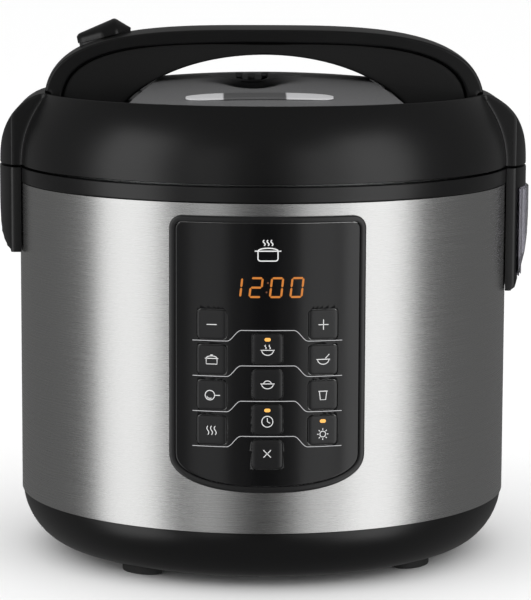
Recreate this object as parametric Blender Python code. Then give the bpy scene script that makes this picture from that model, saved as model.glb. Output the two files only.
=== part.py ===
"""Electric pressure cooker with a turn-and-lift lid, as separate named pieces.

Metres, +Z up, front towards -Y.  The origin is on the table under the centre of the body.
"""
import math

import bmesh
import bpy
from mathutils import Matrix, Vector

MM = 0.001
GAP = 0.3 * MM                    # clearance between pieces that touch
SEGMENTS = 48                     # sides of the large round pieces
SMALL_SEGMENTS = 16               # sides of the small round pieces

# Housing
BODY_RADIUS = 140 * MM
STEEL_BOTTOM = 34 * MM
STEEL_HEIGHT = 178.3 * MM
STEEL_WALL = 0.8 * MM
FOOT_HEIGHT = 6 * MM
FOOT_ANGLE = -129.4               # degrees, first of four
BOWL_INSET = 21 * MM              # how far the bowl's flat bottom is inside the steel
BOWL_WALL = 2.5 * MM
COVER_INSET = 42 * MM             # bottom cover's edge inside the steel
COVER_WALL = 2.5 * MM
BASE_SPIGOT = 12 * MM

# Top ring and its channel
RING_HEIGHT = 8.6 * MM
RING_PROUD = 0.5 * MM
RING_WALL = 6 * MM
CHANNEL_DEPTH = 14.7 * MM
SEAM = 1.2 * MM                   # open line between lid and ring

# Cooking vessel, as steps inwards from the housing
VESSEL_INSET = 22 * MM            # outer pot's outside
VESSEL_WALL = 1.2 * MM
POT_INSET = 27.5 * MM             # inner pot's outside
POT_WALL = 1.5 * MM
POT_CORNER = 14 * MM
POT_RIM = 5 * MM
HEATER_HEIGHT = 9 * MM
HEATER_INSET = 52 * MM
SENSOR_RADIUS = 12.5 * MM
SPRING_LENGTH = 15 * MM

# Bayonet
TOOTH_COUNT = 6
TOOTH_ANGLE = 27.0                # degrees, pot teeth and lid lugs alike
TOOTH_REACH = 8.5 * MM
TOOTH_THICKNESS = 1.8 * MM
LUG_CLEARANCE = 2.7 * MM          # lug top to tooth underside
SKIRT_INSET = 10 * MM             # inner lid's skirt inside the housing
LID_SHEET = 1.5 * MM

# Lid
LID_HEIGHT = 40.8 * MM            # seam to rim
RIM_STEP = 14 * MM                # rim's radius inside the housing's
LID_WALL = 3 * MM
RECESS_DEPTH = 6 * MM
FLOOR_THICKNESS = 2 * MM
PLATE_RISE = 9.8 * MM             # centre of the grey plate above the rim
PLATE_EDGE_DROP = 1.0 * MM
PLATE_CLEARANCE = 2.4 * MM        # from the plate's waist to the handle's feet
PLATE_FLARE = 21.2 * MM           # how much wider each side is at the rim than at the waist
STRIP_LENGTH = 80 * MM
STRIP_OFFSET = -4 * MM
STRIP_INSET = 29 * MM             # middle of the strip inside the rim's front
DISH_RADIUS = 27 * MM             # vent dish in the plate
DISH_DEPTH = 6.5 * MM
DISH_OFFSET = -6.5 * MM
EAR_REACH = 11.8 * MM             # ear beyond the housing
EAR_HALF_WIDTH = 28.5 * MM
EAR_ROUND = 52 * MM
BRACKET_DROP = 48.6 * MM
SPINE_DROP = 70.5 * MM
SPINE_THICKNESS = 5.4 * MM
CAP_HEIGHT = 11.5 * MM            # right bracket's cap over the cup
CUP_HEIGHT = 55 * MM
CUP_REACH = 13.3 * MM
CUP_WALL = 1.2 * MM
CUP_ROUND = 80 * MM

# Handle
HANDLE_HALF_WIDTH = 30 * MM
HANDLE_RISE = 37.1 * MM           # crown above the rim
HANDLE_SKIRT = 15.4 * MM          # arch curves start this far below the rim
COVER_DEPTH = 8.7 * MM            # cover's band, measured at the crown
GRIP_DEPTH = 6.7 * MM             # lower half, measured at the crown
GRIP_NARROWER = 2.5 * MM
HANDLE_WALL = 2.5 * MM
GRIP_INSET = 36.8 * MM            # hand hole's ellipse inside the rim
GRIP_DROP = 14.4 * MM             # that ellipse's centre below the arch's
KNOB_INSET = 36.4 * MM            # knob's axis inside the rim
KNOB_LENGTH = 31 * MM
KNOB_WIDTH = 25 * MM
KNOB_HEIGHT = 10.5 * MM
TUBE_INSET = 32 * MM

# Control panel
PANEL_HALF_WIDTH = 53.5 * MM
PANEL_BOTTOM_STEP = 22.6 * MM     # lowest point above the steel's bottom edge
PANEL_HEIGHT = 149.1 * MM
PANEL_SKIRT = 21 * MM             # height of the rounded bottom
PANEL_CORNER = 7 * MM
BEZEL_WIDTH = 3.8 * MM
BEZEL_PROUD = 1.8 * MM
FACE_PROUD = 1.2 * MM
KEY_SIZE = 16 * MM
KEY_PROUD = 1.5 * MM
KEY_STEM = 8 * MM
KEY_TRAVEL = 0.8 * MM
KEY_ROW = 19.1 * MM
KEY_COLUMN = 29.7 * MM
KEY_FIRST = 21 * MM               # lowest key above the panel's lowest point
KEY_STAGGER = 12.8 * MM           # side columns above the centre column
DISPLAY_STEP = 33 * MM            # display above the highest centre key
DISPLAY_SIZE = (39 * MM, 15 * MM)
SWITCH_HEIGHT = 0.6 * MM
BOARD_WALL = 1.6 * MM

# Heights that follow from the sizes above
STEEL_TOP = STEEL_BOTTOM + STEEL_HEIGHT
RING_TOP = STEEL_TOP + GAP + RING_HEIGHT
SEAM_Z = RING_TOP + SEAM
RIM_Z = SEAM_Z + LID_HEIGHT
FLOOR_Z = RIM_Z - RECESS_DEPTH
RING_RADIUS = BODY_RADIUS + RING_PROUD
RIM_RADIUS = BODY_RADIUS - RIM_STEP
CHANNEL_Z = RING_TOP - CHANNEL_DEPTH
VESSEL_RADIUS = BODY_RADIUS - VESSEL_INSET
VESSEL_BOTTOM = FOOT_HEIGHT + STEEL_BOTTOM
TOOTH_TOP = RING_TOP - 5.7 * MM
LUG_TOP = TOOTH_TOP - TOOTH_THICKNESS - LUG_CLEARANCE
SKIRT_RADIUS = BODY_RADIUS - SKIRT_INSET
SKIRT_BOTTOM = LUG_TOP - TOOTH_THICKNESS
POT_RADIUS = BODY_RADIUS - POT_INSET
HEATER_BOTTOM = VESSEL_BOTTOM + VESSEL_WALL + GAP
HEATER_TOP = HEATER_BOTTOM + 6 * MM + HEATER_HEIGHT
POT_BOTTOM = HEATER_TOP + GAP
RIM_LIFT = TOOTH_TOP + GAP
INNER_LID_Z = TOOTH_TOP + 18 * MM
PANEL_BOTTOM = STEEL_BOTTOM + PANEL_BOTTOM_STEP
ARCH_Z = RIM_Z - HANDLE_SKIRT
CROWN = HANDLE_SKIRT + HANDLE_RISE


def clear_scene():
    for item in list(bpy.data.objects):
        bpy.data.objects.remove(item, do_unlink=True)


def make_material(name, colour, roughness, metallic=0.0):
    material = bpy.data.materials.new(name)
    material.use_nodes = True
    shader = material.node_tree.nodes["Principled BSDF"]
    shader.inputs["Base Color"].default_value = (*colour, 1.0)
    shader.inputs["Roughness"].default_value = roughness
    shader.inputs["Metallic"].default_value = metallic
    material.diffuse_color = (*colour, 1.0)
    return material


def add_object(name, shape, material, location=(0, 0, 0), matrix=None):
    """Turn a bmesh into a named object, shaded smooth with sharp edges kept."""
    bmesh.ops.recalc_face_normals(shape, faces=shape.faces)
    mesh = bpy.data.meshes.new(name)
    shape.to_mesh(mesh)
    shape.free()
    mesh.shade_smooth()
    mesh.set_sharp_from_angle(angle=math.radians(35))
    if material:
        mesh.materials.append(material)
    item = bpy.data.objects.new(name, mesh)
    if matrix is None:
        item.location = location
    else:
        item.matrix_world = matrix
    bpy.context.collection.objects.link(item)
    return item


def cutter(item):
    """Keep a tool shape out of the build."""
    item.hide_render = True
    item.display_type = "WIRE"
    return item


def combine(item, tool, operation="DIFFERENCE"):
    """Add a live boolean of one object with a tool shape."""
    modifier = item.modifiers.new(operation.title(), "BOOLEAN")
    modifier.operation = operation
    modifier.solver = "EXACT"
    modifier.object = cutter(tool)
    return item


def soften(item, width, segments=2):
    modifier = item.modifiers.new("Soft edges", "BEVEL")
    modifier.width = width
    modifier.segments = segments
    modifier.limit_method = "ANGLE"
    modifier.angle_limit = math.radians(40)
    return item


def turned(name, profile, material=None, location=(0, 0, 0), segments=SEGMENTS,
           start=0.0, sweep=360.0):
    """Spin a closed (radius, height) outline about Z, all the way round or through an angle."""
    shape = bmesh.new()
    turn = Matrix.Rotation(math.radians(start), 3, "Z")
    verts = [shape.verts.new(turn @ Vector((radius, 0, height))) for radius, height in profile]
    solid = profile[0][0] == 0 and profile[-1][0] == 0
    edges = [shape.edges.new(pair) for pair in zip(verts, verts[1:])]
    if not solid:
        edges.append(shape.edges.new((verts[-1], verts[0])))
    whole = sweep == 360.0
    if whole:
        bmesh.ops.spin(shape, geom=verts + edges, axis=(0, 0, 1), cent=(0, 0, 0),
                       angle=math.tau, steps=segments, use_merge=True)
    else:
        face = shape.faces.new(verts)
        bmesh.ops.spin(shape, geom=[face], axis=(0, 0, 1), cent=(0, 0, 0),
                       angle=math.radians(sweep), steps=segments)
    bmesh.ops.remove_doubles(shape, verts=shape.verts, dist=1e-6)
    bmesh.ops.dissolve_degenerate(shape, edges=shape.edges, dist=1e-7)
    return add_object(name, shape, material, location)


def extruded(name, outline, along, material=None, location=(0, 0, 0), matrix=None):
    """Extrude a closed outline of 3-D points along a vector."""
    shape = bmesh.new()
    face = shape.faces.new([shape.verts.new(point) for point in outline])
    result = bmesh.ops.extrude_face_region(shape, geom=[face])
    moved = [part for part in result["geom"] if isinstance(part, bmesh.types.BMVert)]
    bmesh.ops.translate(shape, verts=moved, vec=along)
    return add_object(name, shape, material, location, matrix)


def block(name, low, high, material=None, matrix=None):
    """A box between two corners."""
    outline = [(low[0], low[1], low[2]), (high[0], low[1], low[2]),
               (high[0], high[1], low[2]), (low[0], high[1], low[2])]
    return extruded(name, outline, (0, 0, high[2] - low[2]), material, matrix=matrix)


def rod(name, radius, low, high, material=None, location=(0, 0, 0), segments=SMALL_SEGMENTS):
    profile = [(0, low), (radius, low), (radius, high), (0, high)]
    return turned(name, profile, material, location, segments)


def arc_points(radius, first, last, count):
    """Points of an arc about the origin, by angle in degrees."""
    angles = [math.radians(first + (last - first) * step / count) for step in range(count + 1)]
    return [(radius * math.cos(angle), radius * math.sin(angle)) for angle in angles]


def around(radius, degrees):
    angle = math.radians(degrees)
    return radius * math.cos(angle), radius * math.sin(angle)


def superellipse(half_width, height, power, floor, count):
    """An arch |x/a|^n + |z/b|^n = 1, from its right foot over the crown to its left foot."""
    start = math.asin((max(floor, 0) / height) ** (power / 2))
    points = []
    for step in range(count + 1):
        angle = start + (math.pi - 2 * start) * step / count
        across = half_width * abs(math.cos(angle)) ** (2 / power)
        points.append((math.copysign(across, math.cos(angle)), height * math.sin(angle) ** (2 / power)))
    return points


BLACK = make_material("black plastic", (0.018, 0.018, 0.019), 0.38)
DARK = make_material("dark rubber", (0.012, 0.012, 0.012), 0.75)
STEEL = make_material("brushed steel", (0.55, 0.55, 0.54), 0.3, 1.0)
POT_METAL = make_material("pot metal", (0.62, 0.62, 0.61), 0.28, 1.0)
ALUMINIUM = make_material("cast aluminium", (0.5, 0.5, 0.5), 0.5, 1.0)
GREY = make_material("grey metallic paint", (0.1, 0.1, 0.102), 0.42, 0.6)
SILVER = make_material("silver film", (0.65, 0.65, 0.66), 0.35, 0.8)
GLOSS = make_material("gloss black", (0.008, 0.008, 0.009), 0.08)
KEY = make_material("key black", (0.015, 0.015, 0.016), 0.2)
SMOKE = make_material("smoky plastic", (0.16, 0.15, 0.18), 0.15)
SILICONE = make_material("silicone", (0.75, 0.76, 0.78), 0.6)
BOARD = make_material("circuit board", (0.02, 0.16, 0.06), 0.5)
WHITE = make_material("white plastic", (0.7, 0.7, 0.68), 0.5)


# ---------------------------------------------------------------- housing

def bowl_curve(inset, count=5):
    """The bowl's outer quarter curve, from the steel down to the flat bottom."""
    width = BOWL_INSET
    height = STEEL_BOTTOM - FOOT_HEIGHT
    flat = BODY_RADIUS - BOWL_INSET - 0.8 * MM
    points = []
    for step in range(count + 1):
        angle = math.pi / 2 * step / count
        out = (width - inset) * math.cos(angle) ** (2 / 1.7)
        down = (height - inset) * math.sin(angle) ** (2 / 1.7)
        points.append((flat + out, STEEL_BOTTOM - GAP - down))
    return points


def make_base():
    edge = BODY_RADIUS - COVER_INSET
    ledge = FOOT_HEIGHT + COVER_WALL + GAP
    top = STEEL_BOTTOM + BASE_SPIGOT
    spigot = BODY_RADIUS - STEEL_WALL - 0.5 * MM
    rib = edge + 2 * MM
    profile = bowl_curve(0)
    profile += [(edge, FOOT_HEIGHT), (edge, ledge), (edge - 10 * MM, ledge),
                (edge - 10 * MM, ledge + BOWL_WALL), (rib, ledge + BOWL_WALL),
                (rib, VESSEL_BOTTOM - GAP), (rib + BOWL_WALL, VESSEL_BOTTOM - GAP),
                (rib + BOWL_WALL, ledge + BOWL_WALL)]
    inner = list(reversed(bowl_curve(BOWL_WALL)))
    profile += [point for point in inner if point[1] > ledge + BOWL_WALL + 1 * MM][:-1]
    profile += [(spigot - BOWL_WALL, STEEL_BOTTOM - GAP), (spigot - BOWL_WALL, top),
                (spigot, top), (spigot, STEEL_BOTTOM - GAP)]
    shell = turned("base_shell", profile, BLACK)
    cover = turned("bottom_cover", [(0, FOOT_HEIGHT), (edge - GAP, FOOT_HEIGHT),
                                    (edge - GAP, FOOT_HEIGHT + COVER_WALL),
                                    (0, FOOT_HEIGHT + COVER_WALL)], BLACK)
    screw_radius = edge - 5.5 * MM
    for index in range(3):
        x, y = around(screw_radius, 30 + 120 * index)
        low = FOOT_HEIGHT - GAP
        head = low - 2 * MM
        tip = ledge + BOWL_WALL + 3 * MM
        profile = [(0, head), (3.4 * MM, head), (3.4 * MM, low), (1.7 * MM, low), (1.7 * MM, tip), (0, tip)]
        turned(f"bottom_screw_{index + 1}", profile, STEEL, (x, y, 0), 12)
        hole = rod(f"screw hole {index + 1}", 2 * MM, 0, 20 * MM, None, (x, y, 0), 12)
        combine(shell, hole)
        combine(cover, hole)
    for index in range(6):
        matrix = Matrix.Rotation(math.radians(60 * index), 4, "Z")
        slot = block(f"vent slot {index + 1}", (45 * MM, -12 * MM, 0), (49 * MM, 12 * MM, 20 * MM), None, matrix)
        combine(cover, slot)
    for index in range(4):
        angle = FOOT_ANGLE + 90 * index
        radius = BODY_RADIUS - BOWL_INSET - 11.5 * MM
        matrix = Matrix.Rotation(math.radians(angle), 4, "Z")
        outline = [(radius + 8 * MM * math.cos(turn), 13 * MM * math.sin(turn), 0)
                   for turn in [math.tau * step / 20 for step in range(20)]]
        extruded(f"foot_{index + 1}", outline, (0, 0, FOOT_HEIGHT - GAP), DARK, matrix=matrix)


def make_steel_housing():
    profile = [(BODY_RADIUS, STEEL_TOP), (BODY_RADIUS, STEEL_BOTTOM),
               (BODY_RADIUS - STEEL_WALL, STEEL_BOTTOM), (BODY_RADIUS - STEEL_WALL, STEEL_TOP)]
    steel = turned("steel_housing", profile, STEEL)
    half = PANEL_HALF_WIDTH - BEZEL_WIDTH - 4.5 * MM
    low = PANEL_BOTTOM + BEZEL_WIDTH + 9 * MM
    high = PANEL_BOTTOM + PANEL_HEIGHT - BEZEL_WIDTH - 5 * MM
    front = -BODY_RADIUS
    window = block("panel window", (-half, front - 10 * MM, low), (half, front + 30 * MM, high))
    combine(steel, window)
    return steel


def make_top_ring():
    inner = VESSEL_RADIUS + 1 * MM
    spigot = BODY_RADIUS - STEEL_WALL - 0.5 * MM
    wall = RING_RADIUS - RING_WALL
    under = CHANNEL_Z - FLOOR_THICKNESS
    step = STEEL_TOP + GAP
    profile = [(RING_RADIUS, RING_TOP), (RING_RADIUS, step), (spigot, step), (spigot, under - 3 * MM),
               (spigot - BOWL_WALL, under - 3 * MM), (spigot - BOWL_WALL, under), (inner, under),
               (inner, CHANNEL_Z), (wall, CHANNEL_Z), (wall, RING_TOP)]
    turned("top_ring", profile, BLACK)
    low = wall - 3.3 * MM
    high = wall - 0.9 * MM
    shape = [(low, CHANNEL_Z + 0.6 * MM), (high, CHANNEL_Z + 0.6 * MM),
             (high, CHANNEL_Z + 11 * MM), (low, CHANNEL_Z + 11 * MM)]
    turned("lid_position_slider", shape, WHITE, segments=6, start=82, sweep=16)


# ---------------------------------------------------------------- cooking vessel

def tooth_ring(name, low, high, inner, outer, first):
    """Equal teeth round a circle, as one tool object with several closed bodies."""
    shape = bmesh.new()
    for index in range(TOOTH_COUNT):
        middle = first + 360 / TOOTH_COUNT * index
        start = middle - TOOTH_ANGLE / 2
        plan = arc_points(outer, start, start + TOOTH_ANGLE, 6)
        plan += reversed(arc_points(inner, start, start + TOOTH_ANGLE, 6))
        face = shape.faces.new([shape.verts.new((x, y, low)) for x, y in plan])
        result = bmesh.ops.extrude_face_region(shape, geom=[face])
        moved = [part for part in result["geom"] if isinstance(part, bmesh.types.BMVert)]
        bmesh.ops.translate(shape, verts=moved, vec=(0, 0, high - low))
    return add_object(name, shape, None)


def make_vessel():
    inside = VESSEL_RADIUS - VESSEL_WALL
    profile = [(VESSEL_RADIUS, TOOTH_TOP), (VESSEL_RADIUS, VESSEL_BOTTOM), (30 * MM, VESSEL_BOTTOM),
               (30 * MM, VESSEL_BOTTOM + VESSEL_WALL), (inside, VESSEL_BOTTOM + VESSEL_WALL),
               (inside, TOOTH_TOP)]
    vessel = turned("outer_pot", profile, POT_METAL)
    teeth = tooth_ring("pot teeth", TOOTH_TOP - TOOTH_THICKNESS, TOOTH_TOP + 0.02 * MM,
                       VESSEL_RADIUS - 0.6 * MM, VESSEL_RADIUS + TOOTH_REACH, 0)
    combine(vessel, teeth, "UNION")
    outer = BODY_RADIUS - HEATER_INSET
    foot = HEATER_BOTTOM + 6 * MM
    hole = SENSOR_RADIUS + 4 * MM
    profile = [(hole, HEATER_TOP), (outer, HEATER_TOP), (outer, foot), (outer - 4 * MM, foot),
               (outer - 4 * MM, HEATER_BOTTOM), (outer - 8 * MM, HEATER_BOTTOM),
               (outer - 8 * MM, foot), (hole, foot)]
    turned("heating_plate", profile, ALUMINIUM)
    top = HEATER_TOP
    profile = [(0, top - 10 * MM), (SENSOR_RADIUS, top - 10 * MM), (SENSOR_RADIUS, top), (0, top)]
    turned("thermal_sensor", profile, ALUMINIUM, segments=SMALL_SEGMENTS)
    spring_top = top - 10 * MM - GAP
    spring_low = spring_top - SPRING_LENGTH
    make_spring("sensor_spring", 9 * MM, 0.8 * MM, spring_low, spring_top, 4)
    flange = VESSEL_BOTTOM - GAP
    floor = spring_low - GAP
    wall = SENSOR_RADIUS + 0.5 * MM
    profile = [(0, floor - VESSEL_WALL), (wall, floor - VESSEL_WALL), (wall, flange - VESSEL_WALL),
               (36 * MM, flange - VESSEL_WALL), (36 * MM, flange), (wall - VESSEL_WALL, flange),
               (wall - VESSEL_WALL, floor), (0, floor)]
    turned("sensor_bracket", profile, STEEL, segments=24)


def make_spring(name, radius, wire, low, high, turns):
    """A coil spring: a helix curve with a round bevel."""
    curve = bpy.data.curves.new(name, "CURVE")
    curve.dimensions = "3D"
    curve.bevel_depth = wire
    curve.bevel_resolution = 1
    curve.use_fill_caps = True
    count = 10 * turns
    spline = curve.splines.new("POLY")
    spline.points.add(count)
    for index, point in enumerate(spline.points):
        angle = math.tau * turns * index / count
        height = low + wire + (high - low - 2 * wire) * index / count
        point.co = (radius * math.cos(angle), radius * math.sin(angle), height, 1)
    curve.materials.append(STEEL)
    spring = bpy.data.objects.new(name, curve)
    bpy.context.collection.objects.link(spring)


def make_inner_pot():
    outer, inner = POT_RADIUS, POT_RADIUS - POT_WALL
    centre = POT_BOTTOM + POT_CORNER
    outside = [(outer - POT_CORNER + POT_CORNER * math.sin(turn), centre - POT_CORNER * math.cos(turn))
               for turn in [math.pi / 2 * step / 4 for step in range(5)]]
    corner = POT_CORNER - POT_WALL
    inside = [(inner - corner + corner * math.sin(turn), centre - corner * math.cos(turn))
              for turn in [math.pi / 2 * step / 4 for step in range(5)]]
    top = RIM_LIFT + 1.8 * MM
    profile = [(0, POT_BOTTOM)] + outside
    profile += [(outer, RIM_LIFT), (outer + POT_RIM, RIM_LIFT), (outer + POT_RIM, top), (inner, top)]
    profile += list(reversed(inside)) + [(0, POT_BOTTOM + POT_WALL)]
    turned("inner_pot", profile, POT_METAL)


# ---------------------------------------------------------------- electrics

def make_electrics():
    low = FOOT_HEIGHT + COVER_WALL + GAP
    board = block("power_board", (-45 * MM, -50 * MM, low + 9 * MM), (45 * MM, 10 * MM, low + 10.6 * MM), BOARD)
    for index, (x, y) in enumerate([(-40, -45), (40, -45), (-40, 5), (40, 5)]):
        leg = rod(f"board leg {index}", 3 * MM, low, low + 9.5 * MM, None, (x * MM, y * MM, 0), 8)
        combine(board, leg, "UNION")
    transformer = block("transformer", (-30 * MM, -40 * MM, low + 10 * MM), (-4 * MM, -14 * MM, low + 25 * MM))
    relay = block("relay", (8 * MM, -38 * MM, low + 10 * MM), (24 * MM, -18 * MM, low + 22 * MM))
    combine(board, transformer, "UNION")
    combine(board, relay, "UNION")
    high = VESSEL_BOTTOM - GAP
    block("pressure_switch", (-10 * MM, 40 * MM, high - 14 * MM), (10 * MM, 60 * MM, high), BLACK)


def make_power_socket(steel):
    back = BODY_RADIUS + BEZEL_PROUD
    half_width, half_height = 16 * MM, 12 * MM
    middle = STEEL_BOTTOM + 32 * MM
    low = (-half_width, VESSEL_RADIUS + 2 * MM, middle - half_height)
    high = (half_width, back, middle + half_height)
    socket = block("power_socket", low, high, BLACK)
    recess = block("socket recess", (-12 * MM, low[1] + 2.5 * MM, middle - 8.2 * MM),
                   (12 * MM, back + 5 * MM, middle + 8.2 * MM))
    combine(socket, recess)
    for index, x in enumerate((-7, 0, 7)):
        rise = 3 * MM if x == 0 else -1 * MM
        pin = block(f"socket pin {index}", (x * MM - 1 * MM, low[1] + 1 * MM, middle + rise - 2 * MM),
                    (x * MM + 1 * MM, back - 3 * MM, middle + rise + 2 * MM))
        combine(socket, pin, "UNION")
    opening = block("socket opening", (low[0] - GAP, BODY_RADIUS - 20 * MM, low[2] - GAP),
                    (high[0] + GAP, back + 10 * MM, high[2] + GAP))
    combine(steel, opening)


# ---------------------------------------------------------------- side brackets and cup

def lobe_plan(reach, half_width, inside, bend):
    """Plan of an ear or bracket at +X: a rounded outer face and flat front and back faces."""
    half = math.degrees(math.asin(half_width / bend))
    centre = BODY_RADIUS + reach - bend
    outer = [(centre + x, y) for x, y in arc_points(bend, -half, half, 10)]
    return [(inside, -half_width)] + outer + [(inside, half_width)]


def lobe(name, reach, low, high, material=None, side=1, half_width=EAR_HALF_WIDTH,
         inside=BODY_RADIUS - 16 * MM, bend=EAR_ROUND):
    plan = lobe_plan(reach, half_width, inside, bend)
    outline = [(side * x, y, low) for x, y in plan]
    return extruded(name, outline, (0, 0, high - low), material)


def side_profile(name, points, side=1):
    """An outline in the XZ plane carried right across a lobe, used as a tool."""
    reach = EAR_HALF_WIDTH + 5 * MM
    outline = [(side * x, -reach, z) for x, z in points]
    return extruded(name, outline, (0, 2 * reach, 0))


def body_core(name, radius):
    return turned(name, [(0, -10 * MM), (radius, -10 * MM), (radius, RING_TOP + 10 * MM), (0, RING_TOP + 10 * MM)])


def make_brackets():
    tip = BODY_RADIUS + EAR_REACH
    inside = BODY_RADIUS - 25 * MM
    low = RING_TOP - BRACKET_DROP
    core = body_core("bracket core", RING_RADIUS + GAP)
    left = lobe("left_bracket", EAR_REACH, low - 5 * MM, RING_TOP, BLACK, -1)
    outline = [(inside, RING_TOP + 5 * MM), (tip + 5 * MM, RING_TOP + 5 * MM), (tip + 0.2 * MM, RING_TOP - 20 * MM),
               (tip - 0.7 * MM, RING_TOP - 33 * MM), (tip - 3 * MM, RING_TOP - 42 * MM),
               (tip - 7.5 * MM, low), (inside, low)]
    combine(left, side_profile("left bracket profile", outline, -1), "INTERSECT")
    combine(left, core)
    soften(left, 0.8 * MM, 1)

    cap_bottom = RING_TOP - CAP_HEIGHT
    spine_tip = BODY_RADIUS + SPINE_THICKNESS
    right = lobe("right_bracket", EAR_REACH, RING_TOP - SPINE_DROP, RING_TOP, BLACK, 1)
    outline = [(inside, RING_TOP + 5 * MM), (tip + 5 * MM, RING_TOP + 5 * MM), (tip + 5 * MM, cap_bottom),
               (spine_tip, cap_bottom), (spine_tip, RING_TOP - SPINE_DROP + 7 * MM),
               (spine_tip - 2 * MM, RING_TOP - SPINE_DROP + 2 * MM), (spine_tip - 4 * MM, RING_TOP - SPINE_DROP),
               (inside, RING_TOP - SPINE_DROP)]
    combine(right, side_profile("right bracket profile", outline), "INTERSECT")
    combine(right, core)
    soften(right, 0.8 * MM, 1)
    make_condensation_cup(cap_bottom, spine_tip)


def make_condensation_cup(cap_bottom, spine_tip):
    """An open-topped cup that hangs under the right bracket's cap and pulls down."""
    high = cap_bottom - GAP
    low = high - CUP_HEIGHT
    inside = spine_tip + GAP
    half = EAR_HALF_WIDTH - 1.5 * MM
    tip = BODY_RADIUS + CUP_REACH
    cup = lobe("condensation_cup", CUP_REACH, low, high, SMOKE, 1, half, inside, CUP_ROUND)
    taper = [(inside - 5 * MM, high + 5 * MM), (tip + 1 * MM, high + 5 * MM), (tip, high - 8 * MM),
             (tip - 2 * MM, high - 28 * MM), (tip - 5.5 * MM, high - 43 * MM),
             (tip - 9 * MM, low), (inside - 5 * MM, low)]
    combine(cup, side_profile("cup profile", taper), "INTERSECT")
    cavity = lobe("cup cavity", CUP_REACH - CUP_WALL, low + CUP_WALL, high + 5 * MM, None, 1,
                  half - CUP_WALL, inside + CUP_WALL, CUP_ROUND - CUP_WALL)
    inner = [(x - CUP_WALL, z) for x, z in taper]
    inner[0] = (inside - 5 * MM, high + 5 * MM)
    inner[-1] = (inside - 5 * MM, low)
    combine(cavity, side_profile("cavity profile", inner), "INTERSECT")
    combine(cup, cavity)


# ---------------------------------------------------------------- control panel

def panel_outline(inset, count=24):
    """Columns (across, bottom, top) of the panel: rounded top corners and a full, rounded bottom."""
    half = PANEL_HALF_WIDTH - inset
    high = PANEL_BOTTOM + PANEL_HEIGHT - inset
    corner = max(PANEL_CORNER - inset, 2 * MM)
    shoulder = PANEL_BOTTOM + PANEL_SKIRT
    drop = PANEL_SKIRT - inset
    columns = []
    for step in range(count + 1):
        across = half * math.sin(math.pi / 2 * (2 * step / count - 1))
        bottom = shoulder - drop * (1 - (abs(across) / half) ** 2.4) ** (1 / 2.4)
        over = max(abs(across) - (half - corner), 0)
        top = high - corner + math.sqrt(max(corner ** 2 - over ** 2, 0))
        columns.append((across, bottom, top))
    return columns


def curved_panel(name, inset, inner, outer, material=None):
    """A slab bent round the housing, its columns at equal arc lengths on the housing's radius."""
    shape = bmesh.new()
    rows = []
    for across, bottom, top in panel_outline(inset):
        angle = across / BODY_RADIUS
        row = [shape.verts.new((radius * math.sin(angle), -radius * math.cos(angle), height))
               for radius, height in ((inner, bottom), (outer, bottom), (outer, top), (inner, top))]
        rows.append(row)
    for one, two in zip(rows, rows[1:]):
        for side in range(4):
            after = (side + 1) % 4
            shape.faces.new((one[side], two[side], two[after], one[after]))
    shape.faces.new(rows[0])
    shape.faces.new(list(reversed(rows[-1])))
    return add_object(name, shape, material)


def facing(across, height, radius=BODY_RADIUS):
    """Place on the housing's front: +Z of the local frame points out, +Y up."""
    angle = across / BODY_RADIUS
    out = Vector((math.sin(angle), -math.cos(angle), 0))
    side = Vector((math.cos(angle), math.sin(angle), 0))
    matrix = Matrix((side, (0, 0, 1), out)).transposed().to_4x4()
    matrix.translation = out * radius + Vector((0, 0, height))
    return matrix


def key_places():
    """Name, place across and height of each key."""
    lowest = PANEL_BOTTOM + KEY_FIRST
    places = [(f"key_centre_{4 - row}", 0.0, lowest + KEY_ROW * row) for row in range(4)]
    side = lowest + KEY_STAGGER
    for label, sign in (("left", -1), ("right", 1)):
        places += [(f"key_{label}_{3 - row}", sign * KEY_COLUMN, side + KEY_ROW * row) for row in range(3)]
    places.append(("key_minus", -KEY_COLUMN, side + 3 * KEY_ROW))
    places.append(("key_plus", KEY_COLUMN, side + 3 * KEY_ROW))
    return places


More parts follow.
